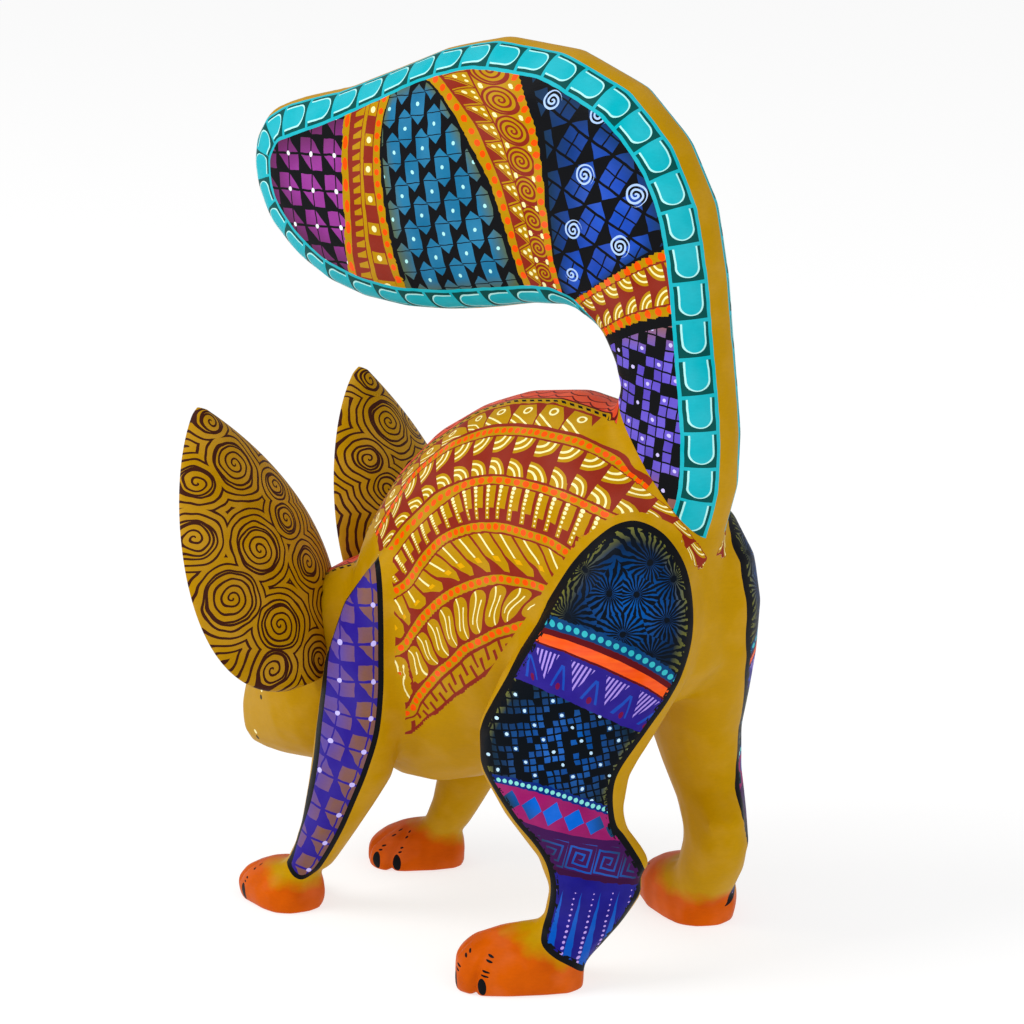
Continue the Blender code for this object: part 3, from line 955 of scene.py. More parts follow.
def paint_tail(obj):
    """The tail's bands and lattices, framed by its border."""
    tail_fields(obj)
    coat = Paint("tail_paint", MUSTARD)
    wobble = coat.noise(0.22, 1.0)
    wobble2 = coat.noise(0.22, 1.0, shift=31.0)
    level, shares, widths = coat.bands("bands")
    edge, crest, _ = coat.attribute("rim")
    edge = edge + wobble * 0.5
    y, z = coat.y + wobble * 0.9, coat.z + wobble2 * 0.9
    shares = [share + wobble2 * 0.006 for share in shares]
    v = frac(level)
    panel = edge > 14.2

    def band(index):
        return panel & between(level, float(index), index + 1.0)

    # magenta lattice at the tip
    heart = ramp(edge, 14.0, 26.0)
    magenta = blend(heart, srgb(84, 36, 64), srgb(148, 56, 146))
    quarter_lattice(coat, band(0), (y + 0.14 * (z - 228) + 55.0) / 11.0 + 0.5,
                    (z - 239.4 - 0.08 * (y + 55)) / 11.2 + 0.5,
                    magenta, BLACK, WHITE, 0.75, 11.0)
    # narrow bands: dots, teeth, thin line, blocks, dots
    for index, count, pitch, radius in ((1, 15, 3.3, 1.0), (5, 15, 3.7, 1.0), (7, 19, 4.0, 1.05),
                                        (10, 21, 3.5, 1.0),
                                        (12, 10, 3.9, 1.05), (14, 10, 3.7, 1.05)):
        coat.lay(band(index), MUSTARD)
        dotted(coat, band(index), shares[index % 2] * float(count), v, widths[index % 2], pitch, radius,
               ORANGE)
    along, width = shares[0], widths[0]
    f = frac(along * 16.0)
    coat.lay(band(2), BRICK)
    coat.lay(band(2) & (v > 0.38) & (f < 0.88) & (f > 0.16 + (1.0 - v) * 0.55), MUSTARD)
    coat.lay(band(3) & (v > 0.18), MUSTARD)
    coat.lay(band(3) & (v < 0.18), BRICK)
    f = frac(along * 6.0)
    coat.lay(band(4), BRICK)
    block = band(4) & near(f, 0.5, 0.2) & near(v, 0.5, 0.4)
    coat.lay(block, MUSTARD)
    coat.lay(block & disc((f - 0.5) * 9.5, (v - 0.5) * width, 1.0), CREAM)
    # blue lattice of rectangles and darts
    gate = band(6)
    coat.lay(gate, BLACK)
    p = ((y + 7.4) * 7.7 - (z - 246.5) * 4.0) / 81.6
    q = ((y + 7.4) * 5.0 + (z - 246.5) * 8.0) / 81.6
    fp, fq = frac(p + 0.5) - 0.5, frac(q + 0.5) - 0.5
    fade = ramp(edge, 14.0, 19.0) & ramp(v, 0.02, 0.20) & ramp(1.0 - v, 0.02, 0.16)
    teal = blend(fade, srgb(92, 100, 40),
                 blend(coat.noise(0.05) + 0.5, srgb(4, 84, 128), srgb(52, 140, 182)))
    for step in (-1.0, 0.0, 1.0):
        dy, dz = (fp + step) * 8.0 + (fq - step) * 4.0, (fp + step) * -5.0 + (fq - step) * 7.7
        across, up = abs(dy * 0.988 + dz * 0.156), abs(dz * 0.988 - dy * 0.156)
        coat.lay(gate & (across < 2.75) & (up < 3.15), teal)
        coat.lay(gate & (up > 3.45) & (across < (6.2 - up) * 1.05), teal)
    coat.lay(gate & disc(fp * 8.0 + fq * 4.0, fp * -5.0 + fq * 7.7, 0.62), AQUA)
    coat.lay(gate & ((v < 0.05) | (v > 0.95)), BLACK)
    # zigzag band
    gate = band(8)
    coat.lay(gate, MUSTARD)
    f = frac(along * 12.0)
    peak = abs(f * 2.0 - 1.0)
    coat.lay(gate & (v < peak * 0.95 - 0.20), BRICK)
    coat.lay(gate & near(v, peak * 0.95, 0.06), BRICK)
    coat.lay(gate & disc((f - 0.5) * 6.4, (v - 0.42) * width, 0.62), CREAM)
    coat.lay(gate & disc((abs(f - 0.5) - 0.16) * 6.4, (v - 0.76) * width, 0.5), CREAM)
    coat.lay(panel & (near(level, 8.0, 0.07) | near(level, 9.0, 0.07)), BRICK)
    # running spirals
    along, width = shares[1], widths[1]
    gate = band(9)
    coat.lay(gate, MUSTARD)
    a = along * 6.24 + along * along * 1.76
    f = frac(a)
    size = 78.0 / (6.24 + along * 3.52)
    sx, sy = (f - 0.5) * size, (v - 0.47) * width
    coat.lay(gate & spiral(sx, sy, size * 0.46, size * 0.155, 0.72), BRICK)
    coat.lay(gate & near(root(sx * sx + sy * sy), size * 0.46, 0.36), BRICK)
    for where in (0.12, 0.9):
        coat.lay(gate & disc((abs(f - 0.5) - 0.47) * size, (v - where) * width, 0.62), CREAM)
    # royal blue pinwheels under pale spirals
    gate = band(11)
    coat.lay(gate, BLACK)
    p = ((y - 48.5) * 0.88 - (z - 227.5) * 0.47) / 8.6
    q = ((y - 48.5) * 0.47 + (z - 227.5) * 0.88) / 8.6
    fp, fq = frac(p) - 0.5, frac(q) - 0.5
    odd = frac((floor(p) + floor(q)) * 0.5) > 0.25
    fade = ramp(edge, 14.5, 22.0) & ramp(v, 0.05, 0.50) & ramp(1.0 - v, 0.02, 0.14)
    blue = blend(fade, srgb(24, 50, 74),
                 blend(coat.noise(0.06, shift=3.0) + 0.5, srgb(8, 44, 138), srgb(46, 96, 214)))
    square = (abs(fp) < 0.44) & (abs(fq) < 0.44) & (abs(fp) > 0.03) & (abs(fq) > 0.03)
    dart = (abs(fp) < abs(fq) - 0.04) & (abs(fq) < 0.46)
    coat.lay(gate & op("MULTIPLY", 1.0 - odd, square), blue)
    coat.lay(gate & odd & dart, blue)
    coat.lay(gate & ((v < 0.06) | (v > 0.955)), BLACK)
    for cy, cz, radius in TAIL_SPIRALS:
        coat.lay(spiral(y - cy, z - cz, radius, 1.32, 0.62, -1.0) & gate, srgb(176, 205, 246))
    # brick band of facing leaves
    gate = band(13)
    coat.lay(gate, BRICK)
    leaves(coat, gate, along * 7.0, v)
    coat.lay(panel & (near(level, 13.0, 0.05) | near(level, 14.0, 0.05)), BRICK)
    # mosaic of small squares
    gate = band(15)
    coat.lay(gate, BLACK)
    p, q = (y - 0.12 * z) / 3.1, (z + 0.16 * y) / 3.4
    cp, cq = floor(p), floor(q)
    pick = frac(op("SINE", cp * 12.9898 + cq * 78.233) * 43.758)
    star = frac((cp + cq * 2.0) / 5.0)
    keep = (pick > 0.22) & (near(star, 0.4, 0.05) < 0.5)
    fade = ramp(1.0 - op("ABSOLUTE", (z - 176.0) / 26.0), 0.0, 0.35)
    violet = blend(fade, srgb(140, 96, 90), blend(pick, srgb(84, 66, 176), srgb(112, 94, 212)))
    tile = (abs(frac(p) - 0.5) < 0.43) & (abs(frac(q) - 0.5) < 0.42)
    coat.lay(gate & tile & keep, violet)
    coat.lay(gate & (star < 0.05) & disc((frac(p) - 0.5) * 3.1, (frac(q) - 0.5) * 3.4, 0.6),
             srgb(205, 196, 250))
    coat.lay(panel & between(level, 15.0, 15.06), BLACK)
    tail_border_gate = 1.0 - (edge > BORDER_END)
    keep_colour = coat.colour
    coat.colour = MUSTARD
    tail_border(coat, edge, crest)
    coat.colour = blend(tail_border_gate, keep_colour, coat.colour)
    coat.finish(obj)


paint_tail(pieces["tail"])


# ---------------------------------------------------------------- the body's drawn curves

FLANK = (
    ("top",
     ((14, -52), (15, -35), (16, -20), (15, -6), (14, 1), (10.6, 9), (10.6, 19), (10.4, 29), (10.4, 39),
             (10, 47), (10, 54))),
    ("yz", ((-26, 122), (-20, 132.5), (-14, 142), (-7, 149.5), (0, 155.5), (8, 160), (15, 163), (25, 165.4),
            (33, 166.2), (42, 166.2), (50, 165.8), (57, 164), (64, 161), (16, 69, 157.5), (14, 75, 153))),
    ("yz",
     ((-27, 118), (-21, 128), (-15, 137.5), (-8.5, 146), (-1, 152), (7, 156.8), (15, 160.2), (25, 162.8),
            (33, 163.7), (42, 163.7), (50, 163.2), (18, 60, 160), (17, 67, 157), (15, 73, 153),
      (13, 78, 149),
            (12, 82, 146), (10, 85, 141), (7, 87, 136), (2.5, 87.5, 130), (1, 88, 122), (3, 88, 114))),
    ("yz", ((-18, 120), (-11, 129.5), (-3, 137), (5, 144), (16, 149), (26, 151.8), (36, 152.5), (46, 152),
            (55, 150.8), (63, 148.3), (23, 71, 145), (17, 77, 144), (15, 81, 141), (12, 84, 138),
            (10, 85.5, 134),
            (8, 87, 129), (4, 88, 121), (3, 88, 113))),
    ("yz",
     ((-22, 107), (-13, 118), (-6, 127), (1, 134), (9, 141), (17, 146.7), (27, 149.5), (37, 150),
      (47, 149.5),
            (56, 148), (64, 145.5), (70, 143.5))),
    ("yz",
     ((-23, 100), (-16.5, 105.5), (-12, 110.5), (-4.5, 116.5), (1, 123.8), (7.3, 130.3), (14.5, 134.8),
      (23, 137.8),
            (31.7, 139.2), (38.5, 139.2), (45.2, 138.5), (51, 137.8), (57, 135.8), (61, 133.5))),
    ("yz",
     ((-22, 97), (-14.2, 102.5), (-10.2, 107.5), (-2.2, 113.5), (3.8, 121), (9.5, 127.8), (15.6, 131.8),
      (23.5, 134.8),
            (31.7, 136.1), (38.2, 136.1), (44.8, 135.4), (50.5, 134.6), (58, 131.5))),
    ("yz",
     ((-20, 88.5), (-13.5, 91), (-7, 95), (-2.8, 100), (1.4, 105.2), (5.7, 109.5), (10.8, 113.8),
      (16, 117.2),
            (22.8, 120.5), (31.5, 123.5), (38.3, 124), (45, 124), (50.5, 123.2), (56, 121.5))),
    ("yz",
     ((-20, 86), (-10.8, 89), (-4.6, 92.6), (-0.4, 97.8), (3.8, 102.6), (7.9, 107), (12.7, 111),
      (17.5, 114.2),
            (23.9, 117.3), (32, 120.3), (38.4, 120.9), (45, 120.9), (53, 119.5))),
    ("yz",
     ((-16, 68), (-7.5, 72.8), (-2.9, 78.6), (2.6, 84.4), (7.1, 89.1), (12.3, 93.2), (18, 98.6),
      (22.5, 101.3),
            (26, 103.4), (31, 106.5), (36, 108.5), (41, 110.6), (48, 112.5))),
    ("yz",
     ((-15, 65.5), (-5.1, 70.6), (-0.5, 76.4), (5, 82.2), (9.5, 86.9), (14.3, 90.8), (20.4, 96.4),
      (24.1, 98.7),
            (27.4, 100.6), (32.4, 103.5), (37.4, 105.5), (47, 109))),
    ("yz",
     ((-21, 55), (-14, 59.5), (-7.5, 64.5), (0, 70.8), (6.7, 75.4), (13.3, 80.8), (20, 85.8), (25.8, 90),
      (31.7, 95),
            (38, 99.5), (46, 104))))
HIND_LOOP = ((46, 144), (40, 143), (35, 139.5), (30, 134.5), (26, 129), (22, 122), (18, 114.5), (14, 107.5),
             (10.5, 101.5), (7, 95), (3.5, 88.5), (0.5, 82), (-0.5, 75), (1, 68.5), (5, 61.5), (10, 54),
             (15.5, 47.5),
             (19, 42), (20.8, 36), (21, 30), (20, 24), (18.5, 19), (18.5, 15.8), (22, 12.3), (27, 9),
             (31.5, 5.5),
             (34, 8.5), (38, 14.5), (43, 22), (47, 29), (49.5, 35), (48.5, 40), (46, 44.5), (43, 49),
             (40.5, 53),
             (39.5, 60), (40, 66), (42, 71), (46, 77), (51, 84), (56, 91), (60, 99), (62.5, 108), (63, 118),
             (61.5, 128), (58, 135.5), (53, 141))
HIND_BANDS = (
    ((8, 112), (18, 115.2), (25, 115.4), (32, 114), (38, 112), (44, 109.3), (50, 105.8), (56, 101),
     (63, 93)),
    ((8, 109.5), (18, 112.2), (25, 112.2), (32, 110.8), (38, 108.6), (44, 105.8), (50, 102), (56, 97),
     (62, 90)),
    ((5, 105.5), (14, 107.8), (20, 107.8), (26, 106.6), (32, 104.4), (38, 101.9), (44, 98.8), (50, 95.3),
     (60, 86.5)),
    ((0, 96), (8, 97.3), (14, 97), (20, 95.3), (26, 93), (32, 90.2), (38, 87.2), (44, 84), (50, 80.2),
     (56, 75)),
    ((-1, 67.5), (8, 68), (14, 67.3), (20, 66), (26, 64), (32, 61.6), (38, 58.8), (46, 54)),
    ((0, 65.6), (8, 66), (14, 65.1), (20, 63.8), (26, 61.8), (32, 59.4), (38, 56.6), (45, 52)),
    ((4, 57), (12, 54.6), (20, 52.6), (28, 50.9), (35, 49.5), (42, 48), (50, 46)),
    ((12, 39.8), (20, 38.9), (26, 38.1), (32, 37.1), (38, 36), (44, 34.8), (52, 33)))
HIND_BURSTS = ((50, 133), (38, 124.5), (46, 124.5), (55, 116.5), (42, 113), (31, 130), (57, 128),
               (50, 106), (26, 117))
FORE_LOOP = ((-33, 120.4), (-31.2, 119), (-30.3, 112), (-30, 102), (-30, 92), (-30.2, 79), (-31.6, 66),
             (-35, 54),
             (-39, 43), (-43.6, 31), (-48.8, 20), (-53, 13.4), (-57, 11.2), (-60, 12.6), (-62, 16),
             (-61.2, 20),
             (-58.6, 29), (-55.5, 39), (-53.6, 48), (-52.4, 56), (-51.4, 66), (-50, 77), (-49, 88),
             (-47.5, 96),
             (-45, 104), (-41.5, 111), (-37, 117))
FORE_REAR = ((-33, 124), (-30.5, 112), (-30, 102), (-30, 92), (-30.2, 79), (-31.6, 66), (-35, 54),
             (-39, 43),
             (-43.6, 31), (-48.8, 20), (-56, 6))
BODY_LEANS = ((0, 0), (0, 0), (0, 0), (0, 0), (0, 0), (0, 0), (0.3, -1.4), (0, 0), (-0.1, 0.9), (0, 0),
              (0.3, 0.3))
# The rim line behind the foreleg where the flank's bands begin
BAND_START = ((-32, 128), (-24, 124), (-19, 119), (-17, 110), (-14, 99), (-12.5, 90), (-12, 80),
              (-11.5, 70),
              (-13.5, 62), (-16, 54))
# The middle of each leg between its outer and inner side, by height
HIND_MIDDLE = ((0, 63.5), (20, 65), (31, 65.5), (54, 63.5), (81, 61), (111, 58), (142, 52))
FORE_MIDDLE = ((0, -10), (20, 0), (50, 6), (86, 8.5), (105, 10.5), (123, 11))


def body_fields(obj, kind):
    """Where each spot of the body or a leg lies in the flank's bands, the leg's panel and the paw."""
    surface = Surface(obj)
    side, height = surface.fold[:, 1:].copy(), surface.fold[:, 2]
    if obj is pieces["foreleg_right"]:
        side[:, 0] -= (PAWS["foreleg_right"][0] - PAWS["foreleg_left"][0])[1] * np.clip(1 - height / 90,
                0, 1)
    outer = surface.hind_out - np.interp(height, *zip(*HIND_MIDDLE)) - 1.5
    if obj is pieces["hind_leg_right"]:
        outer = outer - 9 * np.clip(1 - np.abs(height - 22) / 44, 0, 1)
    hind = np.minimum(loop_depth(surface.flat_hind, HIND_LOOP, outer > 0), np.maximum(outer, -1))
    if kind != "fore":
        rows = [signed(surface.fold, surface.fold_normal, surface.curve(line, name)) for name,
                line in FLANK]
        upper, lower = levels(rows[:4], -1.0, BODY_LEANS[:3]), levels(rows[3:], -1.0, BODY_LEANS[3:])
        under = (lower[0] > 1) & (surface.fold[:, 1] < 71)
        deep = under & (lower[0] > 1.5)
        level = np.where(under, lower[0] + 3, np.minimum(upper[0], 3.99))
        shares, widths = [(np.where(under, low[1], up[0]), np.where(deep, low[0], up[1]))
                          for low, up in zip(lower[1:], upper[1:])]
        surface.store_bands("flank", level, shares, widths)
        start = flat_rows(side, [BAND_START])[0][2]
        surface.store("panels", hind, start, rows[0][0])
        surface.store("ridge", rows[0][2], np.abs(surface.at[:, 0]), surface.fold[:, 1])
    if kind == "hind":
        rows = flat_rows(surface.flat_hind, HIND_BANDS)
        surface.store_bands("hind_bands", *levels(rows, -1.0, ((0, 0),) * 7))
        surface.store("hind_flat", surface.flat_hind[:, 0], surface.flat_hind[:, 1], hind)
    if kind == "fore":
        turned = side[:, 0] * COS38 - surface.fold[:, 0] * SIN38
        face = np.stack([turned, height], axis=1)
        outer = surface.fold[:, 0] * COS38 + side[:, 0] * SIN38 - np.interp(height, *zip(*FORE_MIDDLE))
        fore = np.minimum(loop_depth(face, FORE_LOOP, outer > 0), np.maximum(outer, -1))
        s, _, dist = flat_rows(face, [FORE_REAR])[0]
        surface.store("fore_grid", s, np.abs(dist), fore)
    surface.store_depth()
    if kind != "torso":
        angle, reach = paw_place(surface.at, obj.name.replace("_painted", ""))
        angle = np.radians(angle)
        surface.store("toes", reach * np.cos(angle), reach * np.sin(angle), height)


def paint_flank(coat, on_leg=False):
    """The nested arches of bands over the flank, under the saddle of scales."""
    wobble = coat.noise(0.25, 1.0)
    wobble2 = coat.noise(0.25, 1.0, shift=19.0)
    level, shares, widths = coat.bands("flank")
    hind, start, saddle_run = coat.attribute("panels")
    ridge, half, lengthwise = coat.attribute("ridge")
    level = level + wobble * 0.06
    shares = [share + wobble2 * 0.004 for share in shares]
    along = shares[1]
    v = frac(level)
    open_ends = (hind < -2.3) & (start > 0.3)
    if on_leg:
        open_ends = open_ends & (half > 32.0) & (coat.z > 84.0)

    def band(index):
        return open_ends & between(level, float(index), index + 1.0) & (shares[index % 2] < 0.995)

    # saddle of overlapping scales along the spine
    crest = ridge > 3.2
    back = between(lengthwise, -58.0, 60.0) & (coat.z > 104.0) & (half < 22.0)
    salmon = blend(coat.noise(0.12) + 0.5, srgb(206, 58, 38), srgb(236, 98, 62))
    coat.lay(crest & back, salmon)
    p, q = saddle_run / 6.5, half / 3.4
    p = p + frac(floor(q) * 0.5)
    arc = frac(q) + (frac(p) - 0.5) * (frac(p) - 0.5) * 2.2
    coat.lay(crest & back & near(arc, 0.92, 0.10), srgb(96, 22, 20))
    coat.lay(near(ridge, 3.2, 0.35) & back, srgb(96, 22, 20))
    dash = near(frac((saddle_run + ridge * 0.9) / 3.0), 0.5, 0.27) & near(ridge, 1.7, 0.55)
    coat.lay(dash & back, BLACK)
    # arched tabs with a ring and two strokes
    gate = band(1)
    coat.lay(gate, BRICK)
    f = frac(along * 13.0)
    tab = gate & (f > 0.06) & (v > 0.06 + op("MAXIMUM", f - 0.66, 0.0) * 1.5) & (v < 0.97)
    coat.lay(tab, MUSTARD)
    ring = root((f - 0.50) * (f - 0.50) * 70.0 + (v - 0.34) * (v - 0.34) * 62.0)
    coat.lay(tab & near(ring, 1.05, 0.26), CREAM)
    for shift in (0.0, 0.26):
        coat.lay(tab & near(v - f * 0.62, 0.47 + shift, 0.035) & (v < 0.93) & (f < 0.8), CREAM)
    # strips of orange dots between brick lines
    for index, count, pitch in ((2, 46, 2.7), (4, 42, 2.7), (6, 37, 2.7), (8, 30, 2.8), (10, 27, 2.6)):
        coat.lay(band(index), MUSTARD)
        dotted(coat, band(index), shares[0] * float(count), v, widths[0], pitch, 0.98, ORANGE, 0.5)
    for edge_line in range(2, 12):
        line = near(level, edge_line + 0.02, 0.07 if edge_line % 2 else 0.10)
        coat.lay(open_ends & (shares[0] < 0.995) & line, BRICK)
    # facing leaves
    gate = band(3)
    coat.lay(gate, BRICK)
    leaves(coat, gate & between(v, 0.03, 0.97), along * 20.0, v)
    # stepped bars with dwindling dots
    gate = band(5)
    coat.lay(gate, BRICK)
    f = frac(along * 22.0 + 0.3)
    coat.lay(gate & between(f, 0.10, 0.44) & between(v, 0.04, 0.94), MUSTARD)
    coat.lay(gate & between(f, 0.40, 0.86) & between(v, 0.04, 0.56 + 0.12 * along), MUSTARD)
    g = frac(v * 8.5)
    coat.lay(gate & (v < 0.93) & disc((f - 0.27) * 4.9, (g - 0.5) * 1.5, 0.72 - v * 0.5), CREAM)
    # slanted pencils
    gate = band(7)
    coat.lay(gate, BRICK)
    f = frac(along * 17.0 - along * along * 4.0 + 0.2)
    body = gate & between(f, 0.05, 0.93) & between(v, 0.04, 0.94) & (v < 1.04 - abs(f - 0.60) * 0.9)
    coat.lay(body, MUSTARD)
    coat.lay(body & near(f, 0.45, 0.045) & (v < 0.56), CREAM)
    coat.lay(body & near(f, 0.50, 0.14) & near(v, 0.64, 0.06), srgb(226, 166, 6))
    # leaning beans with two curling strokes
    gate = band(9)
    coat.lay(gate, BRICK)
    f = frac(along * 14.5 - along * along * 3.0 + 0.1)
    w = v * 2.0 - 1.0
    curl = op("SINE", v * 6.2832) * 0.13
    bean = gate & (abs(f - 0.5 - curl * 0.6) < 0.44 * root(op("MAXIMUM", 1.0 - w * w * w * w * 1.3, 0.0)))
    coat.lay(bean, MUSTARD)
    coat.lay(bean & (near(f, 0.36 + curl, 0.035) & (v < 0.72) | near(f, 0.64 + curl, 0.035) & (v > 0.28)),
             CREAM)
    # comb fret
    gate = band(11)
    coat.lay(gate, MUSTARD)
    f = frac(along * 14.0)
    coat.lay(gate & near(f, 0.2, 0.10) & (v < 0.62), BRICK)
    coat.lay(gate & near(f, 0.7, 0.10) & (v > 0.38), BRICK)
    coat.lay(gate & ((v < 0.12) | (v > 0.86)), BRICK)


def paint_hind_panel(coat):
    """The dark outlined panel on the outer face of a hind leg, painted in horizontal bands."""
    level, shares, widths = coat.bands("hind_bands")
    along, width = shares[1], widths[1]
    r, z, hind = coat.attribute("hind_flat")
    wobble = coat.noise(0.3, 1.0, shift=5.0)
    level, r, z = level + wobble * 0.05, r + wobble * 0.8, z + wobble * 0.8
    v = frac(level)
    panel = hind > 0.0
    fade = ramp(hind, 0.8, 5.5)

    def band(index):
        return panel & between(level, float(index), index + 1.0)

    olive = srgb(122, 122, 46)
    # bursts of strokes
    gate = band(0)
    coat.lay(gate, srgb(8, 16, 26))
    best, turn = 1000.0, 0.0
    for index, (cr, cz) in enumerate(HIND_BURSTS):
        dr, dz = r - cr, z - cz
        away = root(dr * dr + dz * dz)
        angle = op("ARCTAN2", dz, dr) * (11.0 / math.pi) + index * 0.37
        closer = away < best
        turn = turn + closer * (angle - turn) if index else angle
        best = least(away, best) if index else away
    thick = 0.09 + coat.noise(0.45, shift=3.0) * 0.50 + 0.15 * ramp(best, 0.0, 6.0)
    stroke = near(frac(turn + coat.noise(0.22, shift=9.0) * 1.2), 0.5, thick)
    glow = ramp(18.0 - root((r - 45.0) * (r - 45.0) + (z - 121.0) * (z - 121.0)), 0.0, 16.0)
    blue = blend(fade, olive, blend(glow, srgb(10, 28, 50), srgb(10, 84, 164)))
    coat.lay(gate & stroke & (best > 0.9), blue)
    # turquoise dots, red and orange stripe
    coat.lay(band(1), srgb(12, 62, 112))
    dotted(coat, band(1), along * 25.0, v, width, 2.6, 0.92, srgb(52, 178, 188))
    coat.lay(band(2), srgb(90, 14, 22))
    coat.lay(band(2) & between(v, 0.34, 0.90),
             blend(coat.noise(0.3, 2.0, (0.3, 0.3, 2.0)) + 0.5, srgb(222, 50, 22), srgb(255, 112, 26)))
    # violet band with hatched triangles, chevrons and red dots
    gate = band(3)
    coat.lay(gate, blend(coat.noise(0.1) + 0.5, srgb(32, 24, 112), srgb(52, 38, 146)))
    a = along * 5.4 + 0.15
    f = frac(a)
    hatch = near(frac((f * 11.5 + v * 2.4) / 1.3), 0.5, 0.24)
    tri = (v > 0.10) & (abs(f - 0.5) < 0.34 - (v - 0.10) * 0.5)
    coat.lay(gate & tri & hatch, srgb(168, 142, 226))
    g = frac(a + 0.5)
    coat.lay(gate & near(abs(g - 0.5), (v - 0.28) * 0.42, 0.04) & between(v, 0.30, 0.84), srgb(30, 74, 176))
    coat.lay(gate & disc((g - 0.5) * 11.5, (v - 0.80) * 10.5, 0.9), srgb(112, 20, 66))
    # mosaic of small squares
    gate = band(4)
    coat.lay(gate, srgb(7, 13, 20))
    p, q = (r + 0.16 * z) / 2.2, (z - 0.16 * r) / 2.2
    cp, cq = floor(p), floor(q)
    pick = frac(op("SINE", cp * 12.9898 + cq * 78.233) * 43.758)
    middle = ramp(20.0 - root((r - 24.0) * (r - 24.0) + (z - 78.0) * (z - 78.0)), 0.0, 15.0)
    tile = (abs(frac(p) - 0.5) < 0.37) & (abs(frac(q) - 0.5) < 0.38) & (pick > 0.34)
    blue = blend(middle, srgb(18, 40, 58), blend(pick, srgb(6, 44, 108), srgb(30, 98, 184)))
    coat.lay(gate & tile, blend(ramp(hind, 0.8, 4.0), olive, blue))
    star = frac((cp * 2.0 + cq) / 9.0) < 0.05
    coat.lay(gate & star & disc((frac(p) - 0.5) * 2.45, (frac(q) - 0.5) * 2.45, 0.58), srgb(190, 226, 250))
    # row of aqua dots
    coat.lay(band(5), srgb(8, 40, 120))
    dotted(coat, band(5), along * 27.0, v, width, 1.85, 0.66, srgb(130, 220, 210))
    # magenta band with blue diamonds
    gate = band(6)
    coat.lay(gate, blend(coat.noise(0.12) + 0.5, srgb(122, 20, 84), srgb(168, 34, 110)))
    f = frac(shares[0] * 6.9 + 0.1)
    gem = abs(f - 0.5) * 7.0 + abs(v - 0.52) * 8.8 < 3.3
    coat.lay(gate & gem, blend(ramp(hind, 2.0, 9.0), srgb(22, 58, 82), srgb(10, 98, 206)))
    # purple band with squared spirals
    gate = band(7)
    coat.lay(gate, srgb(62, 20, 78))
    a = along * 5.5 + 0.25
    sx, sy = (frac(a) - 0.5) * 7.4, (v - 0.52) * width * 0.86
    square = op("MAXIMUM", abs(sx), abs(sy))
    angle = op("ARCTAN2", sy, sx) * (-0.5 / math.pi)
    key = near(frac(square / 1.5 - angle), 0.5, 0.17) & (square < 3.9) & (square > 0.4)
    coat.lay(gate & key & (hind > 3.0), blend(ramp(hind, 3.0, 9.0), srgb(38, 60, 88), srgb(28, 84, 176)))
    coat.lay(gate & (v > 0.88), srgb(56, 16, 56))
    # ultramarine with blue spikes and dotted lines
    gate = band(8)
    coat.lay(gate, blend(coat.noise(0.12) + 0.5, srgb(26, 20, 106), srgb(38, 36, 142)))
    lean = r - 27.0 - (z - 20.0) * 0.22
    f = frac(lean / 5.6 + 0.4)
    tall = ramp(33.0 - z, 0.0, 26.0)
    low = (z < 33.0) & gate & (hind > 1.6)
    coat.lay(low & (abs(f - 0.5) < 0.30 * tall), srgb(20, 84, 182))
    coat.lay(low & disc((f - 0.16) * 5.6, (frac(z / 1.75) - 0.5) * 1.75, 0.20 + tall * 0.42),
             srgb(186, 156, 232))
    # outline
    coat.lay(between(hind, 0.0, 1.75), BLACK)
    coat.lay(between(hind, 1.75, 2.5) & (coat.noise(0.6, shift=2.0) > 0.02), BLACK)


def paint_fore_panel(coat):
    """The outlined violet lattice on the outer face of a foreleg."""
    s, c, fore = coat.attribute("fore_grid")
    wobble = coat.noise(0.3, 1.0, shift=5.0)
    s, c = s + wobble * 0.8, c + wobble * 0.8
    panel = fore > 0.0
    dark = srgb(48, 34, 140)
    tint = blend(ramp(c, 6.0, 13.0), srgb(136, 92, 46), srgb(90, 72, 166))
    tint = blend(coat.noise(0.16, 2.0) * 0.9 + 0.42, tint, srgb(108, 76, 112))
    quarter_lattice(coat, panel, (c - 3.1) / 10.6 + 0.5, (s - 5.2 - c * 0.10) / 12.1 + 0.5, tint, dark,
                    srgb(196, 186, 250), 0.8, 11.0)
    coat.lay(between(fore, 0.0, 1.7), BLACK)


def paint_paws(coat, low, toes, stroke):
    """Orange paws fading into the mustard of the leg, with black claws and short strokes over each toe."""
    toward, outward, height = coat.attribute("toes")
    angle = op("ARCTAN2", outward, toward) * (180 / math.pi)
    mist = coat.noise(0.12, 3.0, shift=12.0)
    ahead = ramp(9.0 - toward, 0.0, 26.0)
    share = ramp(low - ahead * low * 0.52 + mist * 8.0 - height, 0.0, 5.0)
    orange = blend(coat.noise(0.10, 2.0, shift=4.0) + 0.5, srgb(176, 70, 8), srgb(222, 100, 16))
    coat.lay(share, orange)
    for toe in toes:
        arc = (angle - toe) * (14.0 * math.pi / 180)
        claw = disc(arc, (height - 3.4) * 0.52, 1.45) & (height > 0.5)
        coat.lay(claw, BLACK)
        for lift in (7.0, 8.3, 11.2, 12.5):
            lean = arc - math.copysign(1.0, toe) * (height - 3.0) * 0.22
            coat.lay(disc(lean / stroke, (height - lift) * 2.6 + lean * 0.5, 0.85), BLACK)


